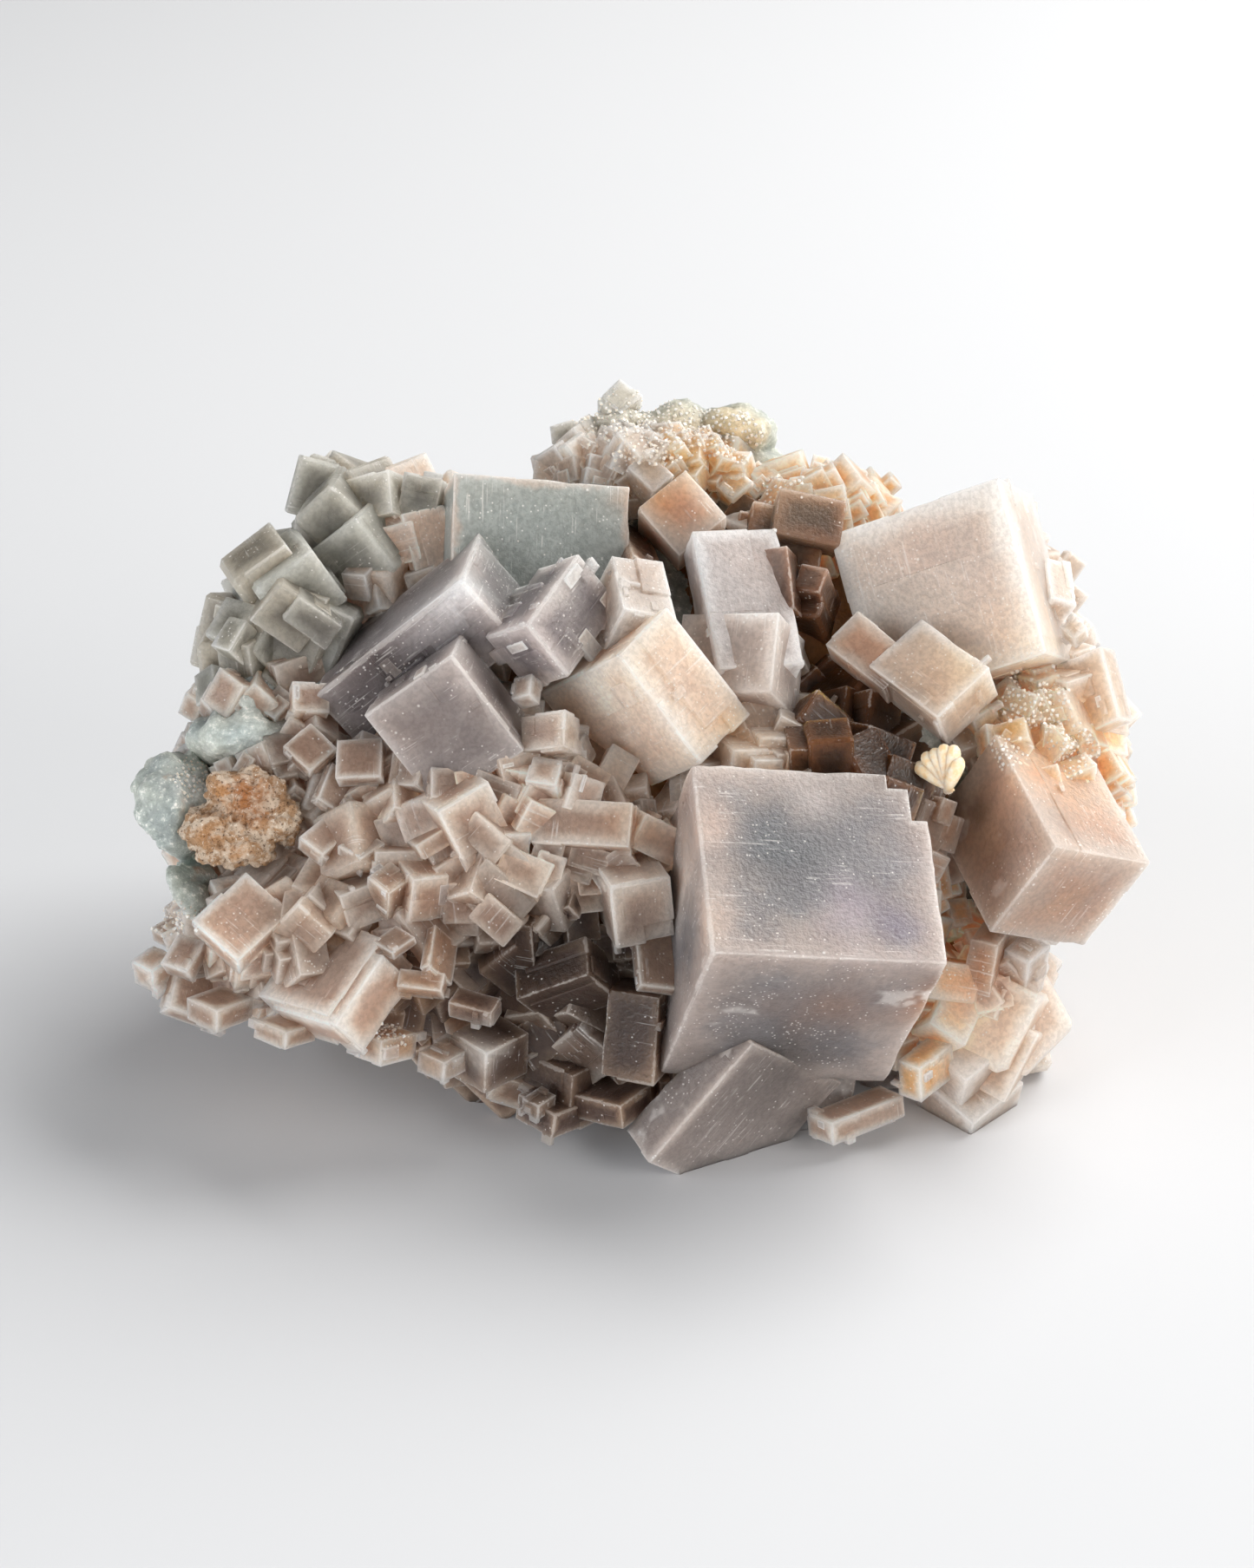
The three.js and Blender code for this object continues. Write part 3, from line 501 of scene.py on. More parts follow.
# Where tiny sugary crystals lie: the pixel, the radius in millimetres and how far back they go
SUGARED = [
    ((725, 480), 9, -40),
    ((780, 500), 8, -40),
    ((840, 510), 6, -40),
    ((1190, 815), 7, -20),
    ((1235, 860), 6, -20),
    ((1165, 870), 4, -10),
    ((225, 895), 4, -20),
    ((205, 1065), 4, -20),
    ((445, 1195), 4, 0),
    ((905, 580), 5, -30),
]
# Their spacing, and the edges of the smallest and the largest, in millimetres
SUGAR_SIZES = (0.75, 0.25, 0.6)


# Places in the picture
def on_plane(pixel):
    """How far a pixel lies from the picture's middle, in millimetres across and up."""
    return (pixel[0] - PICTURE_WIDTH / 2) * PIXEL, (PICTURE_HEIGHT / 2 - pixel[1]) * PIXEL


def seen_at(pixel, toward):
    """The place that is seen at a pixel and lies so far in front of AIM."""
    across, up = on_plane(pixel)
    shrink = (VIEW_DISTANCE - toward) / VIEW_DISTANCE
    return AIM + ACROSS * (across * shrink) + UPWARD * (up * shrink) + TOWARD * toward


def pictured(places):
    """The pixels at which places are seen."""
    away = places - np.array(EYE)
    scale = VIEW_DISTANCE / -(away @ np.array(TOWARD)) / PIXEL
    across = PICTURE_WIDTH / 2 + away @ np.array(ACROSS) * scale
    down = PICTURE_HEIGHT / 2 - away @ np.array(UPWARD) * scale
    return np.stack([across, down], axis=1)


def forward(places):
    """How far places lie in front of AIM."""
    return (places - np.array(AIM)) @ np.array(TOWARD)


def dice(seed):
    """The same small generator of numbers that the model uses."""
    state = seed
    while True:
        state = (state * 1664525 + 1013904223) % 4294967296
        yield state / 4294967296


def body_front(pixel):
    """How far forward the body reaches at a pixel, or a depth behind it where it has no lump."""
    across, up = on_plane(pixel)
    front = -30.0
    for at, toward, radii in BODY_LUMPS:
        lump_across, lump_up = on_plane(at)
        left = 1 - ((across - lump_across) / radii[0]) ** 2 - ((up - lump_up) / radii[1]) ** 2
        if left > 0:
            front = max(front, toward + radii[2] * math.sqrt(left))
    return front


def inside(pixel, patch):
    """Whether a pixel lies in a patch, by how often a line from it meets the patch's outline."""
    odd = False
    for (xi, yi), (xj, yj) in zip(patch, patch[-1:] + patch[:-1]):
        if (yi > pixel[1]) != (yj > pixel[1]):
            if pixel[0] < (xj - xi) * (pixel[1] - yi) / (yj - yi) + xi:
                odd = not odd
    return odd


# Crystals as blocks
class Block:
    """A crystal's place: its middle, three square axes and half its size along each."""

    def __init__(self, near, edges, lengths, tint):
        x = edges[0].normalized()
        y = (edges[1] - x * edges[1].dot(x)).normalized()
        z = x.cross(y)
        side = 1 if z.dot(edges[2]) > 0 else -1
        front = near + x * (lengths[0] / 2) + y * (lengths[1] / 2)
        self.middle = front + z * (side * lengths[2] / 2)
        self.near_side = -side
        self.axes = np.array([x, y, z])
        self.half = np.array(lengths) / 2
        self.tint = tint

    def out(self, places):
        """Places in the crystal's own axes, put in the specimen's."""
        return places @ self.axes + np.array(self.middle)

    def own(self, places):
        """Places in the specimen's axes, put in the crystal's own."""
        return (places - np.array(self.middle)) @ self.axes.T


def block_round(middle, axes, lengths, tint):
    """A crystal from its middle instead of its near corner."""
    near = middle
    for axis, length in zip(axes, lengths):
        near = near - axis * (length / 2)
    return Block(near, axes, lengths, tint)


def part_of(block, low, high, tint):
    """A crystal of its own from a stretch of another, between two corners in that one's axes."""
    made = copy(block)
    made.half = (high - low) / 2
    made.middle = Vector(block.out((low + high) / 2))
    made.tint = tint
    return made


def block_seen(tint, corner, arms, toward):
    """The crystal whose near corner and three edges are seen at these pixels."""
    near = seen_at(corner, toward)
    back = (EYE - near).normalized()
    reach = (EYE - near).length
    sights = [(seen_at(pixel, 0) - EYE).normalized() for pixel in arms]
    flat = [(sight - back * sight.dot(back)).normalized() for sight in sights]
    # the edges of a near corner look more than a right angle apart, so each cosine is below 0
    spread = [min(flat[(i + 1) % 3].dot(flat[(i + 2) % 3]), -0.03) for i in range(3)]
    edges = []
    lengths = []
    for i in range(3):
        slope = math.sqrt(-spread[(i + 1) % 3] * spread[(i + 2) % 3] / spread[i])
        edge = (flat[i] - back * slope).normalized()
        wide = math.acos(-sights[i].dot(back))
        turn = math.acos(edge.dot(back))
        edges.append(edge)
        lengths.append(reach * math.sin(wide) / math.sin(wide + turn))
    return Block(near, edges, lengths, tint)


def strewn_block(tint, patch, edges, out, roll):
    """A crystal at random in a patch of the picture, turned at random."""
    xs = [p[0] for p in patch]
    ys = [p[1] for p in patch]
    while True:
        pixel = (
            min(xs) + next(roll) * (max(xs) - min(xs)),
            min(ys) + next(roll) * (max(ys) - min(ys)),
        )
        if inside(pixel, patch):
            break
    x, y, z, w = next(roll) - 0.5, next(roll) - 0.5, next(roll) - 0.5, 0.2 + next(roll)
    turn = Quaternion((w, x, y, z)).normalized()
    axes = [turn @ Vector(axis) for axis in ((1, 0, 0), (0, 1, 0), (0, 0, 1))]
    lengths = [edges[0] + next(roll) ** 2 * (edges[1] - edges[0]) for _ in range(3)]
    middle = seen_at(pixel, body_front(pixel) + out[0] + next(roll) * (out[1] - out[0]))
    return block_round(middle, axes, lengths, tint)


def all_blocks():
    """Every crystal of the model: the placed ones, then the strewn ones."""
    blocks = [block_seen(*crystal) for crystal in SEEN]
    roll = dice(STREWN_SEED)
    for tint, patch, count, edges, out in STREWN:
        blocks += [strewn_block(tint, patch, edges, out, roll) for _ in range(count)]
    return blocks


def spiral(count):
    """Even directions all round."""
    turn = np.arange(count) * math.pi * (3 - math.sqrt(5))
    height = 1 - 2 * (np.arange(count) + 0.5) / count
    wide = np.sqrt(1 - height**2)
    return np.stack([wide * np.cos(turn), wide * np.sin(turn), height], axis=1)


def seen_lumps(lumps):
    """The middles, axes and radii of lumps given by where they are seen."""
    return [(np.array(seen_at(at, toward)), VIEWER, np.array(radii)) for at, toward, radii in lumps]


def plain_lumps(lumps):
    """The same for lumps given by their centres."""
    middle = np.array(TO_MIDDLE)
    return [(np.array(centre) + middle, np.eye(3), np.array(radii)) for centre, radii in lumps]


def share_out(places, lump, grown=0):
    """Where places lie in a lump: 0 at its middle, 1 on its surface and more outside it."""
    middle, axes, radii = lump
    return np.sum(((places - middle) @ axes.T / (radii + grown)) ** 2, axis=1)


def broken_point(face, deeper=0.0):
    """A point on one of the rock's broken faces, or so far under it."""
    looks, reach = face
    away = Vector(looks).normalized()
    return ROCK_MIDDLE + TO_MIDDLE + away * (reach - ROOM_FOR_RELIEF - deeper)


def beyond(places, face, deeper=0.0):
    """How far places lie outside one of the rock's broken faces."""
    away = Vector(face[0]).normalized()
    return (places - np.array(broken_point(face, deeper))) @ np.array(away)


def ground_spots(placed):
    """Where the body would show: spots on its lumps, and the way that each spot looks."""
    rock = seen_lumps(RIM_LUMPS) + plain_lumps(BACK_LUMPS)
    rim = [rock.pop(n) for n in reversed(CRYSTALLINE_RIM)]
    body = seen_lumps(BODY_LUMPS) + rim
    spots, normals = [], []
    for n, (middle, axes, radii) in enumerate(body):
        ways = spiral(int(4 * math.pi * radii.mean() ** 2 / SPOT_AREA))
        places = (ways * radii) @ axes + middle
        normal = (ways / radii) @ axes
        normal /= np.linalg.norm(normal, axis=1, keepdims=True)
        keep = places[:, 2] > LOWEST_SPOT
        for other in body[:n] + body[n + 1:]:
            keep &= share_out(places, other) > 0.9
        covered = np.zeros(len(places), bool)
        for lump in rock:
            covered |= share_out(places, lump, 1) < 1
        for face in BROKEN_FACES:
            covered &= beyond(places, face, 1.0) < 0
        keep &= ~covered
        keep &= beyond(places, BROKEN_FACES[0], UNDER_BREAK) < 0
        for block in placed:
            clear = CLEAR_OF_LARGE if block.half.mean() > LARGE_HALF else CLEAR_OF_SMALL
            keep &= ~np.all(np.abs(block.own(places)) < block.half + clear, axis=1)
        spots.append(places[keep])
        normals.append(normal[keep])
    return np.concatenate(spots), np.concatenate(normals)


def leaning_axes(normal, roll):
    """Axes of a crystal that leans at random on the ground it grows from."""
    out = Vector(normal)
    side = out.orthogonal().normalized()
    side = Quaternion(out, next(roll) * 2 * math.pi) @ side
    lean = Quaternion(side, 0.15 + 0.7 * next(roll))
    up = lean @ out
    first = Quaternion(up, next(roll) * math.pi) @ (lean @ side)
    return [first, up.cross(first), up]


def ground_blocks(placed):
    """Small crystals that cover the body wherever it would show, many of them parallel."""
    roll = dice(GROUND_SEED)
    spots, normals = ground_spots(placed)
    pixels = pictured(spots)
    order = np.argsort([next(roll) for _ in spots], kind="stable")
    made, middles, spans = [], np.empty((0, 3)), np.empty(0)
    tint_places = np.array([pixel for _, pixel, _ in GROUND])
    for n in order:
        nearest = np.argmin(np.sum((tint_places - pixels[n]) ** 2, axis=1))
        tint, _, (least, most) = GROUND[nearest]
        size = least + next(roll) ** 2 * (most - least)
        if made:
            away = np.linalg.norm(middles - spots[n], axis=1)
            if (away < GROUND_SPACING * (size + spans) / 2 + 0.5).any():
                continue
            near = int(np.argmin(away))
        if made and away[near] < PARALLEL_WITHIN and next(roll) < PARALLEL_SHARE:
            axes = [Vector(axis) for axis in made[near].axes]
        else:
            axes = leaning_axes(normals[n], roll)
        lengths = [size * (0.75 + 0.6 * next(roll)) for _ in range(3)]
        middle = Vector(spots[n]) - Vector(normals[n]) * (size * (0.1 + 0.28 * next(roll)))
        made.append(block_round(middle, axes, lengths, tint))
        middles = np.vstack([middles, spots[n]])
        spans = np.append(spans, size)
    return made + [twin for block in made for twin in twins(block, roll)]


# Colours
def linear(code):
    """A colour code as the linear values that materials take."""
    values = [int(code[k:k + 2], 16) / 255 for k in (0, 2, 4)]
    return tuple(v / 12.92 if v <= 0.04045 else ((v + 0.055) / 1.055) ** 2.4 for v in values)


def paint(code):
    """A colour code as an opaque colour."""
    return (*linear(code), 1)


# Noise on arrays of places. The large numbers only mix the bits of a lattice point.
def lattice_noise(places, cell, seed):
    """Smooth noise between -1 and 1, from random values on a lattice."""
    scaled = places / cell + seed * 17.31
    low = np.floor(scaled).astype(np.int64)
    part = scaled - low
    part = part * part * (3 - 2 * part)
    total = np.zeros(len(places))
    for corner in range(8):
        step = np.array([(corner >> k) & 1 for k in range(3)])
        x, y, z = (low + step).T
        mixed = x * 374761393 + y * 668265263 + z * 2147483647 + seed * 97
        mixed = (mixed ^ (mixed >> 13)) * 1274126177
        value = ((mixed ^ (mixed >> 16)) & 65535) / 32767.5 - 1
        total += value * np.prod(np.where(step == 1, part, 1 - part), axis=1)
    return total


def roughness(places, layers):
    """Noise in layers of several sizes."""
    return sum(high * lattice_noise(places, cell, seed) for high, cell, seed in layers)


def pebbles(places, cell, seed, most, high):
    """Rounded pebbles: how much nearer each place is to one scattered point than to the next.

    The points are one for each cell of a lattice. Past most, given in cells, a pebble is flat.
    """
    scaled = places / cell + seed * 3.17
    low = np.floor(scaled).astype(np.int64)
    best = np.full(len(places), 9.0)
    second = best.copy()
    for shift in np.ndindex(3, 3, 3):
        key = low + np.array(shift) - 1
        x, y, z = key.T
        mixed = x * 73856093 ^ y * 19349663 ^ z * 83492791 ^ (seed * 2654435)
        point = np.empty((len(places), 3))
        for k in range(3):
            mixed = (mixed * 1103515245 + 12345) & 0x7FFFFFFF
            point[:, k] = ((mixed >> 8) & 65535) / 65535
        away = np.linalg.norm(key + point - scaled, axis=1)
        closer = away < best
        second = np.where(closer, best, np.minimum(second, away))
        best = np.where(closer, away, best)
    return np.clip(second - best, 0, most) * high


# Meshes from arrays
def in_scene(name, data):
    """An object in the scene, from a mesh, a light or a camera."""
    made = bpy.data.objects.new(name, data)
    bpy.context.scene.collection.objects.link(made)
    return made


def discard(piece):
    """Removes a helper and its mesh."""
    mesh = piece.data
    bpy.data.objects.remove(piece)
    bpy.data.meshes.remove(mesh)


def keep_values(mesh, name, kind, domain, values):
    """Keeps a value on each point, corner or face of a mesh."""
    slot = {"FLOAT_COLOR": "color", "FLOAT_VECTOR": "vector"}.get(kind, "value")
    mesh.attributes.new(name, kind, domain).data.foreach_set(slot, values.ravel())


def mesh_object(name, places, faces, label=-1):
    """A mesh object at the origin, from places in millimetres, its faces labelled with a number."""
    mesh = bpy.data.meshes.new(name)
    rings = [list(map(int, face)) for face in faces]
    mesh.from_pydata((np.asarray(places) * MM).tolist(), [], rings)
    keep_values(mesh, "crystal", "INT", "FACE", np.full(len(mesh.polygons), label, np.int32))
    mesh.update()
    return in_scene(name, mesh)


def vertex_places(piece):
    """A piece's vertices, in millimetres."""
    flat = np.empty(len(piece.data.vertices) * 3)
    piece.data.vertices.foreach_get("co", flat)
    return flat.reshape(-1, 3) / MM


def settle(piece):
    """Turns a piece with its modifiers into a plain mesh."""
    bpy.context.view_layer.update()
    graph = bpy.context.evaluated_depsgraph_get()
    mesh = bpy.data.meshes.new_from_object(piece.evaluated_get(graph))
    old = piece.data
    piece.modifiers.clear()
    piece.data = mesh
    bpy.data.meshes.remove(old)


def joined(name, shells, cutters=()):
    """One closed mesh from overlapping closed ones, less the cutters."""
    base = mesh_object(name, *shells[0])
    for operation, others in (("UNION", shells[1:]), ("DIFFERENCE", cutters)):
        if not others:
            continue
        group = bpy.data.collections.new(name + "_" + operation)
        bpy.context.scene.collection.children.link(group)
        helpers = [mesh_object(f"{name}_{operation}_{i}", *one) for i, one in enumerate(others)]
        for helper in helpers:
            bpy.context.scene.collection.objects.unlink(helper)
            group.objects.link(helper)
        modifier = base.modifiers.new("join", "BOOLEAN")
        modifier.operation = operation
        modifier.operand_type = "COLLECTION"
        modifier.collection = group
        modifier.solver = "MANIFOLD"
        settle(base)
        for helper in helpers:
            discard(helper)
        bpy.data.collections.remove(group)
    return base


def half_space(point, looks, size=400.0):
    """A block that fills everything beyond a plane."""
    turn = Vector(looks).normalized().to_track_quat("Z", "Y").to_matrix()
    corners = np.array([(x, y, z) for z in (0, 1) for y in (-0.5, 0.5) for x in (-0.5, 0.5)]) * size
    faces = [(0, 2, 3, 1), (4, 5, 7, 6), (0, 1, 5, 4), (2, 6, 7, 3), (0, 4, 6, 2), (1, 3, 7, 5)]
    return corners @ np.array(turn).T + np.array(point), faces


def behind(face, deeper=0.0):
    """A block that fills everything beyond one of the rock's broken faces."""
    return half_space(broken_point(face, deeper), face[0])


BELOW = half_space((0, 0, 0), (0, 0, -1))


# A crystal's shells
def span(low, high):
    """The middle of a stretch between two corners, and half its size."""
    low, high = np.array(low, float), np.array(high, float)
    return (low + high) / 2, (high - low) / 2


def lattice_shell(counts):
    """The outside of a lattice of cells: each point's index along three axes, and its squares."""
    shape = [n + 1 for n in counts]
    index = np.indices(shape)
    rim = np.zeros(shape, bool)
    for axis, n in enumerate(counts):
        rim |= (index[axis] == 0) | (index[axis] == n)
    ids = np.full(shape, -1)
    ids[rim] = np.arange(rim.sum())
    squares = []
    for axis in range(3):
        for side in (0, -1):
            sheet = np.take(ids, side, axis=axis)
            a, b, c, d = sheet[:-1, :-1], sheet[1:, :-1], sheet[1:, 1:], sheet[:-1, 1:]
            outward = (side == -1) != (axis == 1)
            order = (a, b, c, d) if outward else (a, d, c, b)
            squares.append(np.stack([corner.ravel() for corner in order], axis=1))
    return np.argwhere(rim), np.concatenate(squares)


def celled_block(half, edge, cell):
    """A block cut into cells, with narrow ones where its edges will be softened."""
    edge = min(edge, MOST_OF_HALF * half.min())
    lines = []
    for h in half:
        inner = h - 1.5 * edge
        count = max(1, round(2 * inner / cell))
        between = np.linspace(-inner, inner, count + 1)
        lines.append(np.concatenate([[-h, -h + 0.5 * edge], between, [h - 0.5 * edge, h]]))
    index, squares = lattice_shell([len(line) - 1 for line in lines])
    return np.stack([lines[k][index[:, k]] for k in range(3)], axis=1), squares


def cut_block_faces():
    """The faces of a block with its edges and corners cut off, by three points at each corner."""
    corners = [(x, y, z) for x in (0, 1) for y in (0, 1) for z in (0, 1)]
    spot = {(corner, axis): 3 * n + axis for n, corner in enumerate(corners) for axis in range(3)}
    ring = [(0, 0), (1, 0), (1, 1), (0, 1)]
    faces = []
    for axis in range(3):
        for side in (0, 1):
            around = [
                tuple(side if k == axis else pair[(k - axis) % 3 - 1] for k in range(3))
                for pair in ring
            ]
            faces.append([spot[corner, axis] for corner in around])
    for axis in range(3):
        b, c = (axis + 1) % 3, (axis + 2) % 3
        for u in (0, 1):
            for v in (0, 1):
                low, high = (
                    tuple(end if k == axis else (u if k == b else v) for k in range(3))
                    for end in (0, 1)
                )
                faces.append([spot[low, b], spot[high, b], spot[high, c], spot[low, c]])
    faces += [[spot[corner, axis] for axis in range(3)] for corner in corners]
    signs = np.repeat(2.0 * np.array(corners) - 1, 3, axis=0)
    inset = np.tile(1 - np.eye(3), (8, 1))
    places = signs - 0.3 * signs * inset
    for n, face in enumerate(faces):
        at = places[face]
        if np.dot(np.cross(at[1] - at[0], at[2] - at[0]), at.mean(axis=0)) < 0:
            faces[n] = face[::-1]
    return signs, inset, faces


CUT_SIGNS, CUT_INSET, CUT_FACES = cut_block_faces()


def cut_block(block, low, high, edge, roll):
    """A small block with its edges cut off, each corner by its own amount."""
    middle, half = span(low, high)
    edge = min(edge, MOST_OF_HALF * half.min())
    cuts = np.repeat([edge * (0.5 + 1.6 * next(roll) ** 2) for _ in range(8)], 3)[:, None]
    places = CUT_SIGNS * (half - CUT_INSET * np.minimum(cuts, 0.6 * half))
    return block.out(places + middle), CUT_FACES


def soften(places, half, radius):
    """Rounds a block's edges, by a radius that may differ from point to point."""
    radius = radius[:, None]
    inner = np.clip(places, -(half - radius), half - radius)
    away = places - inner
    length = np.linalg.norm(away, axis=1, keepdims=True)
    length[length == 0] = 1
    away = away / length
    return inner + away * radius, away


def crystal_shell(block, low, high, edge, cell, uneven, seed):
    """One growth block of a crystal, with chipped edges and slightly uneven faces."""
    middle, half = span(low, high)
    places, squares = celled_block(half, edge, cell)
    world = block.out(places + middle)
    worn = np.maximum(0, lattice_noise(world, 2.6, seed))
    nicks = 0.5 + 1.6 * worn + 0.8 * np.maximum(0, lattice_noise(world, 0.9, seed + 5))
    radius = np.clip(min(edge, MOST_OF_HALF * half.min()) * nicks, 0.02, 0.45 * half.min())
    places, away = soften(places, half, radius)
    places = places + away * (uneven * lattice_noise(world, 5.0, seed + 9))[:, None]
    return block.out(places + middle), squares


def growth_blocks(block, roll):
    """A crystal's main block and the plates that have grown on its faces, mostly those in sight."""
    half = block.half
    spans = [(-half, half.copy())]
    nearer = (-1, -1, block.near_side)
    for _ in range(block.tint.steps):
        low, high = -half * 0.97, half * 0.97
        face = int(next(roll) * 3)
        step = min(block.tint.step, 0.12 * half.min()) * (0.4 + 0.6 * next(roll))
        for axis in range(3):
            if axis == face:
                if (nearer[axis] > 0) == (next(roll) < 0.85):
                    low[axis], high[axis] = half[axis] * 0.3, half[axis] + step
                else:
                    low[axis], high[axis] = -half[axis] - step, -half[axis] * 0.3
            else:
                reach = half[axis] * 2 * (0.25 + 0.7 * next(roll) ** 0.6)
                over = step * (0.15 + 0.7 * next(roll))
                if next(roll) < 0.5:
                    high[axis] = half[axis] + over
                    low[axis] = high[axis] - reach
                else:
                    low[axis] = -half[axis] - over
                    high[axis] = low[axis] + reach
        spans.append((low, high))
    return spans


def flakes(block, roll):
    """Small flakes on the faces in sight, mostly near the crystal's foremost corner."""
    half = block.half
    nearer = (-1, -1, block.near_side)
    spans = []
    for _ in range(block.tint.flakes):
        face = int(next(roll) * 3)
        proud = 0.2 + 0.7 * next(roll) ** 2
        low, high = np.zeros(3), np.zeros(3)
        for axis in range(3):
            if axis == face:
                ends = (nearer[axis] * (half[axis] + proud), nearer[axis] * (half[axis] - 0.8))
            else:
                start = half[axis] * (1.02 - 1.8 * next(roll) ** 1.6)
                size = min(0.6 + 4.5 * next(roll) ** 2, half[axis])
                ends = (nearer[axis] * start, nearer[axis] * (start - size))
            low[axis], high[axis] = sorted(ends)
        spans.append((low, high))
    return spans


def twins(block, roll):
    """Smaller crystals that have grown through a crystal, parallel to it."""
    made = []
    for _ in range(int(next(roll) * 2.2)):
        share = np.array([0.5 + 0.45 * next(roll) for _ in range(3)])
        shift = [(0.3 + 0.4 * next(roll)) * (1 if next(roll) < 0.5 else -1) for _ in range(3)]
        twin = copy(block)
        twin.half = block.half * share
        twin.middle = Vector(block.out(block.half * np.array(shift)))
        made.append(twin)
    return made


def great_cube_strips(block):
    """The narrow growth strips along the great cube's left face, and the chipped edge by them."""
    half = block.half
    front = block.near_side * half[2]
    spans = []
    for out, start, end in GREAT_CUBE_STRIPS:
        low, high = -half * 0.99, half * 0.99
        low[0], high[0] = -half[0] - out, 0
        low[2], high[2] = sorted((front * (1 - 2 * start) * 0.995, front * (1 - 2 * end)))
        spans.append((low, high))
    return spans


def stepped(block, shell):
    """The great cube with its stepped upper right corner cut out."""
    half = block.half
    front = -half[2] - 2 if block.near_side < 0 else half[2] - 10
    cutters = []
    for shares in GREAT_CUBE_STEPS:
        low = np.array([*(-half[:2] + 2 * half[:2] * np.array(shares)), front])
        middle, cut_half = span(low, low + np.array([20, 20, 12]))
        places, squares = celled_block(cut_half, edge=0.1, cell=3)
        cutters.append((block.out(places + middle), squares))
    cut = joined("great_cube_stepped", [shell], cutters)
    places = vertex_places(cut)
    faces = [list(p.vertices) for p in cut.data.polygons]
    discard(cut)
    return places, faces


# Pieces
def ball(detail):
    """A ball of triangles, from Blender's own icosphere."""
    made = bmesh.new()
    bmesh.ops.create_icosphere(made, subdivisions=detail, radius=1)
    places = np.array([v.co[:] for v in made.verts])
    faces = np.array([[v.index for v in f.verts] for f in made.faces])
    made.free()
    return places, faces


def lump_seen(at, toward, radii, detail=LUMP_DETAIL):
    """A lump where the viewer sees it, its radii across, up and deep."""
    places, faces = ball(detail)
    return (places * np.array(radii)) @ VIEWER + np.array(seen_at(at, toward)), faces


def lump_plain(centre, radii):
    """A lump at its centre."""
    places, faces = ball(LUMP_DETAIL)
    return places * np.array(radii) + np.array(centre) + np.array(TO_MIDDLE), faces


def make_crystals(blocks, placed):
    """The crystals and the body that carries them, as one closed mesh."""
    roll = dice(PLATE_SEED)
    shells, broken = [], []
    for n, block in enumerate(blocks[:placed]):
        mean = float(np.mean(block.half))
        edge = min(EDGE, EDGE_SHARE * mean)
        cell = BIG_CELL if mean > BIG_HALF else SMALL_CELL
        spans = growth_blocks(block, roll) + (great_cube_strips(block) if n == 0 else [])
        for k, (low, high) in enumerate(spans):
            if k > 0 and n > 0:
                shells.append((*cut_block(block, low, high, 0.5 * edge, roll), n))
                continue
            shell = crystal_shell(block, low, high, edge, cell, 0.03 * min(mean, 8), n + 1)
            if n == 0 and k == 0:
                shell = stepped(block, shell)
            shells.append((*shell, n))
        for low, high in flakes(block, roll):
            if next(roll) < WHITE_FLAKES:
                broken.append(part_of(block, low, high, FLAKE))
            else:
                shells.append((*cut_block(block, low, high, 0.12, roll), n))
    for n, block in enumerate(blocks[placed:] + broken, placed):
        mean = float(np.mean(block.half))
        for low, high in growth_blocks(block, roll)[:2]:
            shells.append((*cut_block(block, low, high, 0.09 * mean, roll), n))
    blocks += broken
    for n, (at, toward, radii) in enumerate(BODY_LUMPS):
        deeper = SLAB_LUMP_DEEPER if n == SLAB_LUMP else BODY_DEEPER
        shells.append(lump_seen(at, toward, np.array(radii) - deeper, BODY_DETAIL))
    cutters = [BELOW, behind(BROKEN_FACES[0], UNDER_BREAK)]
    return joined("fluorite_crystals_grown", shells, cutters)


def voxelled(piece, size):
    """Turns a piece into an even mesh of small squares."""
    modifier = piece.modifiers.new("even", "REMESH")
    modifier.mode = "VOXEL"
    modifier.voxel_size = size * MM
    settle(piece)


def push_out(piece, amounts):
    """Moves each vertex along its normal, by millimetres, but not below the cut."""
    places = vertex_places(piece)
    normals = np.empty(len(places) * 3)
    piece.data.vertex_normals.foreach_get("vector", normals)
    moved = places + normals.reshape(-1, 3) * amounts[:, None]
    resting = places[:, 2] < 0.4
    moved[resting] = places[resting]
    moved[:, 2] = np.maximum(moved[:, 2], np.minimum(places[:, 2], 0.0))
    piece.data.vertices.foreach_set("co", (moved * MM).ravel())
    piece.data.update()


def tint_patches(piece, patches):
    """Keeps the patches' colour with each point of a piece."""
    colours = patch_colours(vertex_places(piece), patches)
    keep_values(piece.data, "patch_colour", "FLOAT_COLOR", "POINT", colours)


def make_rock():
    """The massive rock, with rounded lobes where it was free and broken faces where it was not."""
    lumps = [lump_seen(*lump) for lump in RIM_LUMPS] + [lump_plain(*lump) for lump in BACK_LUMPS]
    rock = joined("rock_massive", lumps, [BELOW] + [behind(face) for face in BROKEN_FACES])
    voxelled(rock, ROCK_MESH)
    places = vertex_places(rock)
    lobes = pebbles(places, cell=7.5, seed=3, most=0.5, high=2.2) - 0.55
    small = pebbles(places, cell=3.1, seed=8, most=0.4, high=0.9)
    push_out(rock, lobes + small + roughness(places, ROCK_ROUGH))
    rust = np.clip(0.3 + 0.5 * lattice_noise(places, 22, 31), 0, 1)
    keep_values(rock.data, "rust", "FLOAT", "POINT", rust)
    tint_patches(rock, ROCK_PATCHES)
    return rock


def make_crust():
    """The crumbly crust in the hollow at the left."""
    crust = joined("crust_lumps", [lump_seen(*lump) for lump in CRUST_LUMPS])
    voxelled(crust, CRUST_MESH)
    places = vertex_places(crust)
    crumbs = pebbles(places, cell=1.9, seed=5, most=0.4, high=1.1) - 0.5
    push_out(crust, crumbs + roughness(places, CRUST_ROUGH))
    tint_patches(crust, CRUST_PATCHES)
    return crust


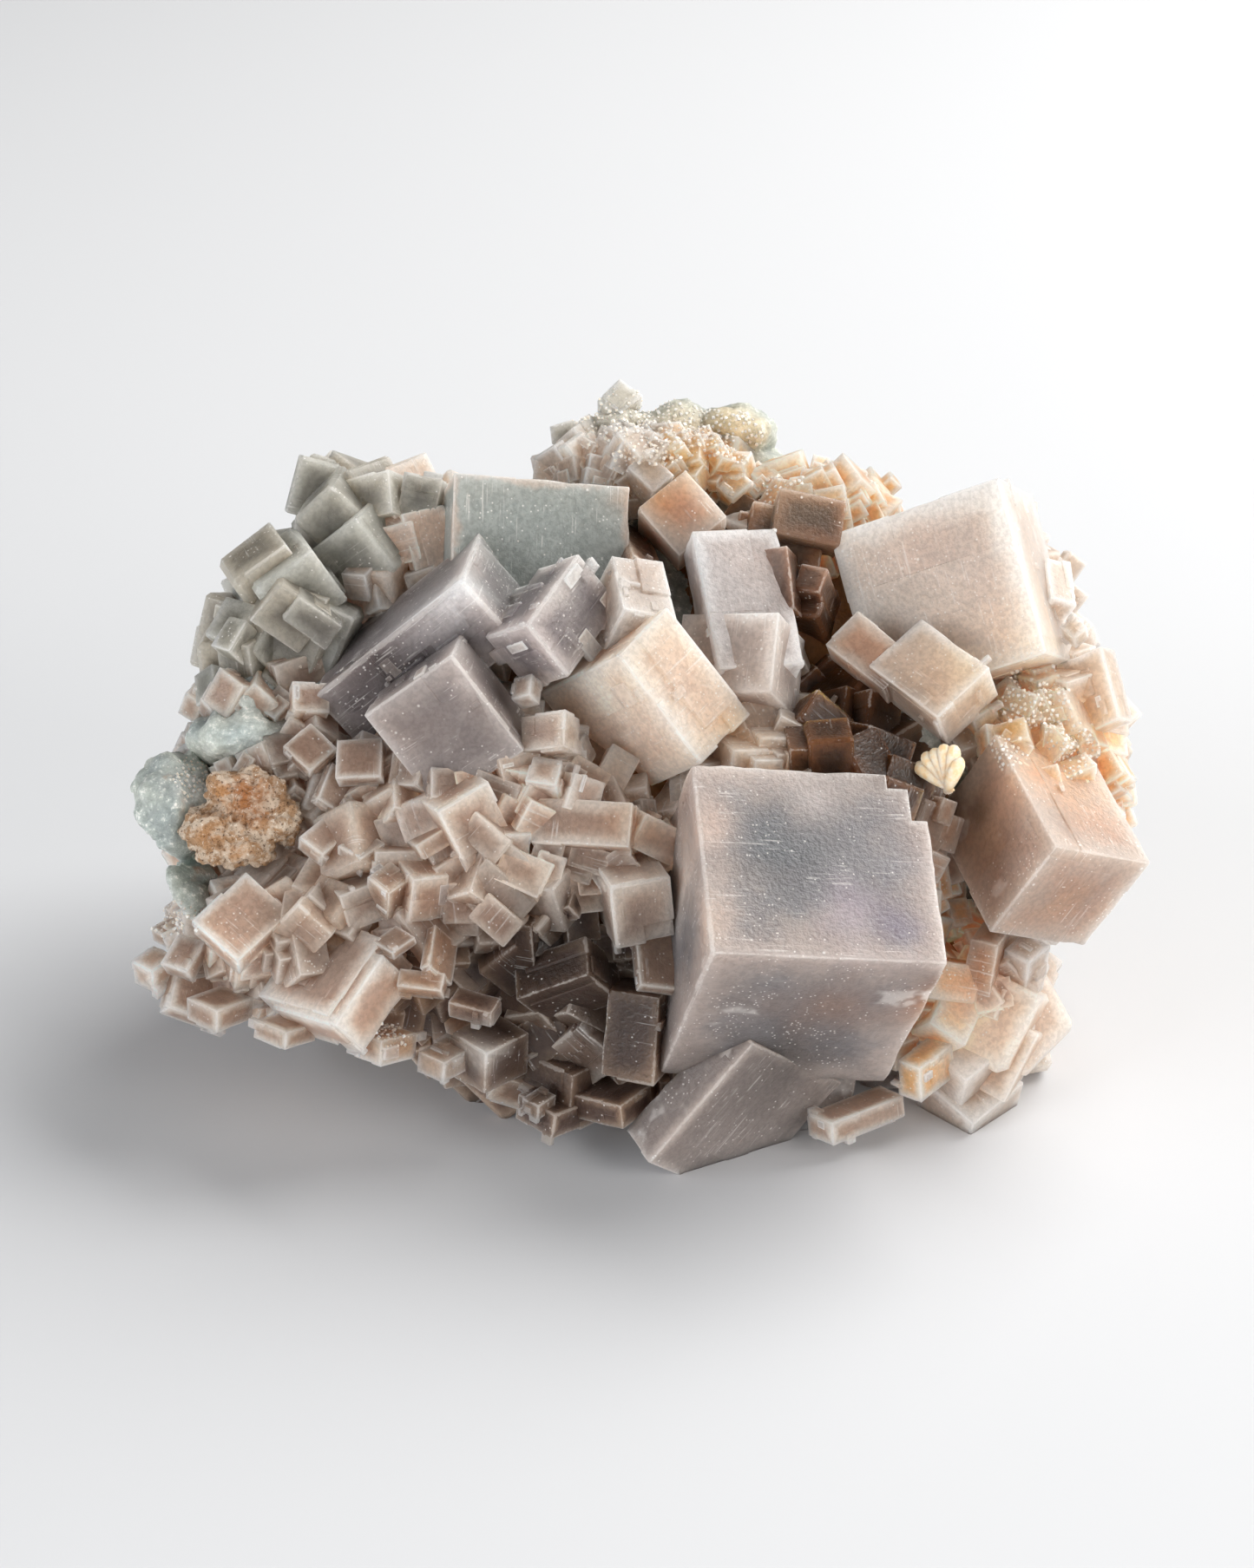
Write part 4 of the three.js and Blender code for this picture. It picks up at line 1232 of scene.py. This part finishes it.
def make_fan():
    """Rounded blades that spread from one foot like a scallop's ribs."""
    foot = seen_at(*FAN_FOOT)
    shells = []
    for i, tip in enumerate(FAN_TIPS):
        reach = seen_at(tip, FAN_FOOT[1] + i * FAN_BLADE_TILT - 2) - foot
        along = reach.normalized()
        out = (TOWARD - along * along.dot(TOWARD)).normalized()
        side = along.cross(out)
        places, faces = ball(BODY_DETAIL)
        x, y, z = places.T
        share = (x + 1) / 2
        wide = FAN_BLADE_WIDE * (0.28 + 0.72 * share ** 0.8)
        bend = 0.9 * np.sin(share * math.pi)
        ruffle = 0.12 * lattice_noise(places * 3 + i, 1.0, i + 40)
        lift = z * (FAN_BLADE_THICK * (0.4 + 0.6 * share)) + bend + ruffle
        square = np.sign(x) * np.abs(x) ** 0.7
        at = np.outer((square + 1) / 2 * (reach.length + 1.5) - 1.5, along)
        at = at + np.outer(y * wide, side) + np.outer(lift, out) + np.array(foot)
        shells.append((at, faces))
    return joined("fan_blades", shells)


# Attributes that carry each crystal's own axes to its material
def read_numbers(items, name):
    """A whole number from each item of a mesh."""
    numbers = np.empty(len(items), np.int32)
    items.foreach_get(name, numbers)
    return numbers


def mark_crystals(piece, blocks):
    """Writes each face corner's place in its own crystal, and how it is coloured there."""
    mesh = piece.data
    places = vertex_places(piece)
    loops = read_numbers(mesh.loops, "vertex_index")
    owner = read_numbers(mesh.attributes["crystal"].data, "value")
    corner_owner = np.repeat(owner, read_numbers(mesh.polygons, "loop_total"))
    corner_places = places[loops]
    own_place = corner_places.copy()
    own_half = np.full((len(loops), 3), 50.0)
    # Corners of the body take its colour: partly rust, partly painted warm glow in the crevices
    rim = np.tile([*linear(BODY_COLOUR), 1.0], (len(loops), 1))
    core = rim.copy()
    extra = np.zeros((len(loops), 3))
    roll = dice(SHADE_SEED)
    order = np.argsort(corner_owner, kind="stable")
    starts = np.searchsorted(corner_owner[order], np.arange(len(blocks) + 1))
    for n, block in enumerate(blocks):
        # three draws for each crystal: the third is spare
        light, warm, _ = 0.78 + 0.38 * next(roll), 0.94 + 0.1 * next(roll), next(roll)
        here = order[starts[n]:starts[n + 1]]
        if not len(here):
            continue
        shift = np.array([light * warm, 0.965 * light, 0.94 * light / warm, 1])
        own_place[here] = block.own(corner_places[here])
        own_half[here] = block.half
        rim[here] = np.array(paint(block.tint.rim)) * shift
        core[here] = np.array(paint(block.tint.core)) * shift
        extra[here] = (block.tint.reach, block.tint.rust, block.tint.dust)
    for name, kind, values in (
        ("patch_colour", "FLOAT_COLOR", patch_colours(places, PATCHES)[loops]),
        ("own_place", "FLOAT_VECTOR", own_place),
        ("own_half", "FLOAT_VECTOR", own_half),
        ("own_extra", "FLOAT_VECTOR", extra),
        ("rim_colour", "FLOAT_COLOR", rim),
        ("core_colour", "FLOAT_COLOR", core),
    ):
        keep_values(mesh, name, kind, "CORNER", values)
    mesh.update()


def patch_colours(places, patches):
    """The soft patches' colour at each place, and how strong it is there."""
    pixels = pictured(places)
    deep = forward(places)
    total = np.zeros((len(places), 4))
    for pixel, radius, code, strength in patches:
        near = np.linalg.norm(pixels - np.array(pixel), axis=1) < 14
        front = deep[near].max() if near.any() else 0
        away = np.linalg.norm(places - np.array(seen_at(pixel, front)), axis=1) / radius
        wobble = 1 + 0.35 * lattice_noise(places, 4.5, int(radius * 7) + pixel[0])
        share = strength * np.exp(-1.2 * (away * wobble) ** 2)
        left, share = 1 - share[:, None], share[:, None]
        total[:, :3] = total[:, :3] * left + np.array(linear(code)) * share
        total[:, 3:] = total[:, 3:] * left + share
    total[:, :3] /= np.maximum(total[:, 3:], 1e-6)
    return total


# Node trees
VALUE = "NodeSocketFloat"
VECTOR = "NodeSocketVector"
COLOUR = "NodeSocketColor"
WHOLE = "NodeSocketInt"
SHAPE = "NodeSocketGeometry"


def new_group(name, inputs, outputs, kind="ShaderNodeTree"):
    """A node group with named sockets: a tree, what goes in and what comes out."""
    tree = bpy.data.node_groups.new(name, kind)
    for way, sockets in (("INPUT", inputs), ("OUTPUT", outputs)):
        for label, socket in sockets.items():
            tree.interface.new_socket(name=label, in_out=way, socket_type=socket)
    given = tree.nodes.new("NodeGroupInput").outputs
    return tree, given, tree.nodes.new("NodeGroupOutput").inputs


def feed(tree, socket, value):
    """Fills a socket with a node's output or a plain value."""
    if isinstance(value, bpy.types.NodeSocket):
        tree.links.new(value, socket)
    else:
        socket.default_value = value


def node(tree, kind, inputs, **settings):
    """The outputs of a new node, once it has its settings and its inputs are filled."""
    made = tree.nodes.new(kind)
    for label, value in settings.items():
        setattr(made, label, value)
    for label, value in inputs.items():
        feed(tree, made.inputs[label], value)
    return made.outputs


def use(tree, group, inputs):
    return node(tree, "ShaderNodeGroup", inputs, node_tree=group)


def calc(tree, operation, *values):
    return node(tree, "ShaderNodeMath", dict(enumerate(values)), operation=operation)[0]


def folded(tree, operation, x, y, z):
    """One operation over three values."""
    return calc(tree, operation, calc(tree, operation, x, y), z)


def vector(tree, operation, inputs):
    return node(tree, "ShaderNodeVectorMath", inputs, operation=operation)["Vector"]


def ramp(tree, value, low, high, to_low=0.0, to_high=1.0):
    """A smooth step between two values."""
    ends = {"From Min": low, "From Max": high, "To Min": to_low, "To Max": to_high}
    inputs = {"Value": value, **ends}
    return node(tree, "ShaderNodeMapRange", inputs, interpolation_type="SMOOTHSTEP")["Result"]


def mix(tree, factor, a, b, blend="MIX"):
    inputs = {"Factor": factor, 6: a, 7: b}
    return node(tree, "ShaderNodeMix", inputs, data_type="RGBA", blend_type=blend)[2]


def shaded(tree, body, by):
    """A colour made lighter and darker by a value."""
    return mix(tree, 1.0, body, by, "MULTIPLY")


def noise(tree, place, scale, detail, rough):
    inputs = {"Vector": place, "Scale": scale, "Detail": detail, "Roughness": rough}
    return node(tree, "ShaderNodeTexNoise", inputs)["Fac"]


def named(tree, name, output="Vector"):
    """What a mesh keeps under a name."""
    return node(tree, "ShaderNodeAttribute", {}, attribute_name=name)[output]


def patched(tree, body):
    """A colour under the soft patches of the piece."""
    patch = "patch_colour"
    return mix(tree, named(tree, patch, "Alpha"), body, named(tree, patch, "Color"))


def three(tree, value):
    """A vector's three values."""
    return node(tree, "ShaderNodeSeparateXYZ", {0: value})


def in_millimetres(tree):
    """Places on the piece, in millimetres."""
    place = node(tree, "ShaderNodeTexCoord", {})["Object"]
    return vector(tree, "SCALE", {0: place, "Scale": 1 / MM})


def bumped(tree, height, distance):
    inputs = {"Height": height, "Distance": distance * MM, "Strength": 1.0}
    return node(tree, "ShaderNodeBump", inputs)["Normal"]


# Shared effects
def growth_and_glow_zones():
    """Where on a crystal's face a place lies: deep in its middle, or on its edge line."""
    tree, given, result = new_group(
        "growth and glow zones",
        {"Own Place": VECTOR, "Half Size": VECTOR, "Reach": VALUE, "Grain": VALUE, "Cloud": VALUE},
        {"Core": VALUE, "Edge": VALUE},
    )
    place = vector(tree, "ABSOLUTE", {0: given["Own Place"]})
    left = three(tree, vector(tree, "SUBTRACT", {0: given["Half Size"], 1: place}))
    least, most, total = (folded(tree, how, *left) for how in ("MINIMUM", "MAXIMUM", "ADD"))
    inward = calc(tree, "SUBTRACT", calc(tree, "SUBTRACT", total, least), most)
    size = folded(tree, "MINIMUM", *three(tree, given["Half Size"]))
    share = calc(tree, "DIVIDE", inward, size)
    cloud = calc(tree, "SUBTRACT", given["Cloud"], 0.5)
    uneven = calc(tree, "MULTIPLY_ADD", cloud, 1.3, share)
    feed(tree, result["Core"], ramp(tree, uneven, 0.0, given["Reach"]))
    grain = calc(tree, "SUBTRACT", given["Grain"], 0.5)
    ragged = calc(tree, "MULTIPLY_ADD", grain, 1.2, inward)
    feed(tree, result["Edge"], ramp(tree, ragged, 0.34, 0.05))
    return tree


def frosted_relief():
    """The height of a frosted face: a fine, shallow grain."""
    tree, given, result = new_group("frosted relief", {"Own Place": VECTOR}, {"Height": VALUE})
    feed(tree, result["Height"], noise(tree, given["Own Place"], 1.1, 2.0, 0.65))
    return tree


def white_specks():
    """White dust: specks in two sizes, and fine streaks along a crystal's own growth."""
    tree, given, result = new_group(
        "white specks", {"Place": VECTOR, "Amount": VALUE}, {"Specks": VALUE, "Streaks": VALUE}
    )
    specks = []
    for scale, size, share in ((0.62, 0.24, 0.10), (1.45, 0.34, 0.24)):
        spots = node(tree, "ShaderNodeTexVoronoi", {"Vector": given["Place"], "Scale": scale})
        near = ramp(tree, spots["Distance"], size, size * 0.3)
        crowd = calc(tree, "MULTIPLY", given["Amount"], share)
        chosen = calc(tree, "LESS_THAN", three(tree, spots["Color"])[1], crowd)
        specks.append(calc(tree, "MULTIPLY", near, chosen))
    feed(tree, result["Specks"], calc(tree, "MAXIMUM", *specks))
    drawn = vector(tree, "MULTIPLY", {0: given["Place"], 1: (0.10, 2.4, 0.16)})
    lines = ramp(tree, noise(tree, drawn, 1.0, 1.5, 0.6), 0.60, 0.70)
    crowd = ramp(tree, given["Amount"], 0.3, 1.1)
    feed(tree, result["Streaks"], calc(tree, "MULTIPLY", lines, crowd))
    return tree


def iron_stain():
    """Rust that has settled in patches: how much, and how deep its colour."""
    tree, given, result = new_group(
        "iron stain",
        {"Place": VECTOR, "Amount": VALUE},
        {"Stain": VALUE, "Colour": COLOUR, "Mottle": VALUE},
    )
    patch = noise(tree, given["Place"], 0.12, 3.0, 0.65)
    start = calc(tree, "SUBTRACT", 0.74, calc(tree, "MULTIPLY", given["Amount"], 0.45))
    stain = ramp(tree, patch, start, calc(tree, "ADD", start, 0.22))
    feed(tree, result["Stain"], calc(tree, "MULTIPLY", stain, 0.75))
    colour = mix(tree, ramp(tree, patch, 0.45, 0.75), paint("e3b27a"), paint("b0703a"))
    feed(tree, result["Colour"], colour)
    feed(tree, result["Mottle"], patch)
    return tree


# Materials
def new_material(name):
    material = bpy.data.materials.new(name)
    material.use_nodes = True
    return material, material.node_tree


def finished(material, looks, glow=None):
    """Fills a material's own shader, its glow by weight, colours and depth in millimetres."""
    if glow:
        weight, colours, depth = glow
        looks["Subsurface Weight"] = weight
        looks["Subsurface Radius"] = colours
        looks["Subsurface Scale"] = depth * MM
    inputs = material.node_tree.nodes["Principled BSDF"].inputs
    for label, value in looks.items():
        feed(material.node_tree, inputs[label], value)
    return material


def crystal_material(zones, relief, specks, stain):
    """Frosted fluorite: milky rims and deeper middles, partly its own zoning and partly painted
    glow at the rims and painted shade in the middles; soft clouds; a pale edge line, partly painted
    highlight; white dust and a little rust.
    """
    material, tree = new_material("frosted fluorite")
    own = named(tree, "own_place")
    size = named(tree, "own_half")
    reach, rust, dusty = three(tree, named(tree, "own_extra"))
    frost = use(tree, relief, {"Own Place": own})["Height"]
    rusty = use(tree, stain, {"Place": in_millimetres(tree), "Amount": rust})
    cloud = rusty["Mottle"]
    given = {"Own Place": own, "Half Size": size, "Reach": reach, "Grain": frost, "Cloud": cloud}
    zone = use(tree, zones, given)
    rim, core = named(tree, "rim_colour", "Color"), named(tree, "core_colour", "Color")
    # Rims and middles: the crystal's zoning, with painted glow at the rims and painted shade in the
    # middles
    body = patched(tree, mix(tree, zone["Core"], rim, core))
    body = shaded(tree, body, ramp(tree, cloud, 0.3, 0.7, 0.92, 1.08))
    body = shaded(tree, body, ramp(tree, frost, 0.36, 0.64, 0.9, 1.1))
    # A pale line along the crystal's edges: partly white broken chips, partly a painted highlight
    edge = mix(tree, 0.3, shaded(tree, body, (1.35, 1.35, 1.35, 1)), paint("f0e9e2"))
    body = mix(tree, calc(tree, "MULTIPLY", zone["Edge"], 0.8), body, edge)
    body = mix(tree, rusty["Stain"], body, rusty["Colour"])
    crowd = calc(tree, "MULTIPLY", ramp(tree, cloud, 0.42, 0.68, 0.1, 1.6), dusty)
    dust = use(tree, specks, {"Place": own, "Amount": crowd})
    dots = calc(tree, "MULTIPLY", dust["Specks"], 0.75)
    streaks = calc(tree, "MULTIPLY", dust["Streaks"], 0.4)
    body = mix(tree, calc(tree, "MAXIMUM", dots, streaks), body, paint("f8f4f0"))
    looks = {
        "Base Color": body,
        "Roughness": ramp(tree, frost, 0.38, 0.62, 0.3, 0.46),
        "Normal": bumped(tree, frost, 0.24),
        "IOR": FLUORITE_IOR,
        "Transmission Weight": 0.3,
    }
    return finished(material, looks, (1.0, (1.0, 0.93, 0.88), 16.0))


def rock_material(specks, stain):
    """Pale green massive fluorite with a white sugary bloom and rusty seams."""
    material, tree = new_material("pale green rock")
    place = in_millimetres(tree)
    cloud = noise(tree, place, 0.09, 3.0, 0.6)
    fine = noise(tree, place, 0.7, 4.0, 0.75)
    body = mix(tree, ramp(tree, cloud, 0.35, 0.65), paint("929997"), paint("bbbfb6"))
    body = shaded(tree, patched(tree, body), ramp(tree, fine, 0.35, 0.65, 0.82, 1.18))
    body = mix(tree, ramp(tree, fine, 0.55, 0.70), body, paint("e9e7e0"))
    rusty = use(tree, stain, {"Place": place, "Amount": named(tree, "rust", "Fac")})
    body = mix(tree, rusty["Stain"], body, rusty["Colour"])
    dust = use(tree, specks, {"Place": place, "Amount": 1.4})
    body = mix(tree, calc(tree, "MULTIPLY", dust["Specks"], 0.35), body, paint("f2f0ea"))
    looks = {
        "Base Color": body,
        "Roughness": calc(tree, "MULTIPLY_ADD", fine, 0.35, 0.30),
        "Normal": bumped(tree, fine, 0.5),
        "IOR": FLUORITE_IOR,
    }
    return finished(material, looks, (0.7, (0.9, 1.0, 0.95), 6.0))


def crust_material():
    """A crumbly iron crust: rust in its middle, cream at its rims, brown in its pits."""
    material, tree = new_material("iron crust")
    place = in_millimetres(tree)
    coarse = noise(tree, place, 0.45, 3.0, 0.6)
    fine = noise(tree, place, 1.6, 4.0, 0.7)
    body = mix(tree, ramp(tree, coarse, 0.42, 0.60), paint("d6c3ae"), paint("b08b68"))
    broken_up = ramp(tree, coarse, 0.34, 0.52, 0.35, 1.0)
    rusty = calc(tree, "MULTIPLY", named(tree, "patch_colour", "Alpha"), broken_up)
    body = mix(tree, rusty, body, named(tree, "patch_colour", "Color"))
    body = mix(tree, ramp(tree, fine, 0.46, 0.32), body, paint("5b3f2c"))
    body = mix(tree, ramp(tree, fine, 0.58, 0.70), body, paint("f3ebe0"))
    looks = {"Base Color": body, "Roughness": 0.85, "Normal": bumped(tree, fine, 0.8)}
    return finished(material, looks)


def fan_material():
    """Cream blades, almost white, with a warm glow where they are thin."""
    material, tree = new_material("calcite blades")
    grain = noise(tree, in_millimetres(tree), 0.9, 4.0, 0.6)
    body = mix(tree, ramp(tree, grain, 0.35, 0.65), paint("ffd4a2"), paint("ffead0"))
    looks = {"Base Color": body, "Roughness": 0.4, "Normal": bumped(tree, grain, 0.2)}
    return finished(material, looks, (0.5, (1.0, 0.9, 0.8), 1.5))


def sugar_material(relief):
    """Tiny clear white crystals, like sugar."""
    material, tree = new_material("sugary fluorite")
    frost = use(tree, relief, {"Own Place": in_millimetres(tree)})["Height"]
    body = mix(tree, ramp(tree, frost, 0.4, 0.6), paint("fbe2c6"), paint("fdf6ec"))
    looks = {"Base Color": body, "Roughness": 0.35, "IOR": FLUORITE_IOR}
    return finished(material, looks, (0.9, (1.0, 0.9, 0.8), 2.0))


# Sugar
def sugar_tree(material):
    """Geometry nodes that strew tiny turned cubes over the surface they are given."""
    sizes = ("Spacing", "Per Square Metre", "Smallest", "Largest")
    tree, given, result = new_group(
        "sugary crystals",
        {"Geometry": SHAPE, **dict.fromkeys(sizes, VALUE), "Seed": WHOLE},
        {"Geometry": SHAPE},
        "GeometryNodeTree",
    )
    seed = {"Seed": given["Seed"]}
    spread = {"Distance Min": given["Spacing"], "Density Max": given["Per Square Metre"], **seed}
    random = "FunctionNodeRandomValue"
    between = {2: given["Smallest"], 3: given["Largest"], **seed}
    strew = {
        "Points": node(
            tree, "GeometryNodeDistributePointsOnFaces", {"Mesh": given["Geometry"], **spread},
            distribute_method="POISSON",
        )["Points"],
        "Instance": node(tree, "GeometryNodeMeshCube", {})["Mesh"],
        "Rotation": node(tree, random, {1: (math.tau,) * 3, **seed}, data_type="FLOAT_VECTOR")[0],
        "Scale": node(tree, random, between, data_type="FLOAT")[1],
    }
    strewn = node(tree, "GeometryNodeInstanceOnPoints", strew)["Instances"]
    real = node(tree, "GeometryNodeRealizeInstances", {"Geometry": strewn})["Geometry"]
    coloured = node(tree, "GeometryNodeSetMaterial", {"Geometry": real, "Material": material})
    feed(tree, result["Geometry"], coloured["Geometry"])
    return tree


def sugared_ground(pieces):
    """The faces of the pieces that are seen where the sugar lies."""
    places, faces = [], []
    for piece in pieces:
        at = vertex_places(piece)
        pixels = pictured(at)
        depth = forward(at)
        chosen = np.zeros(len(at), bool)
        ragged = 1 + 0.5 * lattice_noise(at, 4.0, SUGAR_SEED)
        for pixel, radius, least in SUGARED:
            away = np.linalg.norm(pixels - np.array(pixel), axis=1) * PIXEL
            chosen |= (away < radius * ragged) & (depth > least)
        for face in piece.data.polygons:
            corners = list(face.vertices)
            if chosen[corners].all() and np.dot(face.normal, TOWARD) > 0.05:
                faces.append([len(places) + k for k in range(len(corners))])
                places += [at[corner] for corner in corners]
    return places, faces


def make_sugar(pieces, material):
    """Tiny crystals over the parts of the pieces that are seen at the patches."""
    base = mesh_object("sugary_crystals_ground", *sugared_ground(pieces))
    tree = sugar_tree(material)
    modifier = base.modifiers.new("sugar", "NODES")
    modifier.node_group = tree
    sockets = {
        item.name: item.identifier for item in tree.interface.items_tree if item.in_out == "INPUT"
    }
    spacing, smallest, largest = (value * MM for value in SUGAR_SIZES)
    for label, value in (
        ("Spacing", spacing),
        ("Per Square Metre", 1.2 / spacing**2),
        ("Smallest", smallest),
        ("Largest", largest),
        ("Seed", SUGAR_SEED),
    ):
        modifier[sockets[label]] = value
    graph = bpy.context.evaluated_depsgraph_get()
    mesh = bpy.data.meshes.new_from_object(base.evaluated_get(graph), depsgraph=graph)
    made = in_scene("sugary_crystals", mesh)
    discard(base)
    return made


# Stage
def make_stage():
    """A plain pale floor."""
    corners = [(x * FLOOR_HALF, y * FLOOR_HALF, 0) for x, y in ((-1, -1), (1, -1), (1, 1), (-1, 1))]
    floor = mesh_object("studio_floor", corners, [(0, 1, 2, 3)])
    material, _ = new_material("white paper")
    finished(material, {"Base Color": FLOOR_COLOUR, "Roughness": 0.9})
    floor.data.materials.append(material)


def stand(holder, place, back):
    """Puts a light or the camera in its place, with its back turned one way."""
    holder.location = place
    holder.rotation_mode = "QUATERNION"
    holder.rotation_quaternion = back.to_track_quat("Z", "Y")


def make_lights():
    """Soft lights that look at the specimen, and a dim pale world."""
    for name, place, size, watts, colour, mirrored in LIGHTS:
        light = bpy.data.lights.new(name, "AREA")
        light.shape = "RECTANGLE"
        light.size, light.size_y = size
        light.energy = watts
        light.color = colour
        holder = in_scene(name, light)
        holder.visible_glossy = mirrored
        stand(holder, place, Vector(place) - AIM * MM)
    world = bpy.data.worlds.new("studio")
    bpy.context.scene.world = world
    world.use_nodes = True
    background = world.node_tree.nodes["Background"].inputs
    background["Color"].default_value = WORLD_COLOUR
    background["Strength"].default_value = WORLD_STRENGTH


def make_camera():
    """The camera, where the photograph was taken from."""
    camera = bpy.data.cameras.new("camera")
    camera.sensor_fit = "VERTICAL"
    camera.sensor_height = 36
    camera.lens = 36 * VIEW_DISTANCE / (PICTURE_HEIGHT * PIXEL)
    camera.clip_end = 50
    holder = in_scene("camera", camera)
    stand(holder, EYE * MM, TOWARD)
    bpy.context.scene.camera = holder
    bpy.context.scene.view_settings.view_transform = "Standard"


make_camera()
make_stage()
make_lights()

relief = frosted_relief()
specks = white_specks()
stain = iron_stain()
crystal_finish = crystal_material(growth_and_glow_zones(), relief, specks, stain)
rock_finish = rock_material(specks, stain)

blocks = all_blocks()
placed = len(blocks)
blocks += ground_blocks(blocks)
crystals = make_crystals(blocks, placed)
mark_crystals(crystals, blocks)
rock = make_rock()
crust = make_crust()
fan = make_fan()
sugar = make_sugar((crystals, rock), sugar_material(relief))
for piece, solid, finish in (
    (crystals, "fluorite_crystals", crystal_finish),
    (rock, "pale_green_rock", rock_finish),
    (crust, "iron_crust", crust_material()),
    (fan, "calcite_fan", fan_material()),
):
    piece.data.materials.clear()
    piece.data.materials.append(finish)
    piece.data.shade_smooth()
    piece.data.set_sharp_from_angle(angle=math.radians(SHARP_ANGLE))
    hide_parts(solid)
    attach(piece, "root")

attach(sugar, "root")
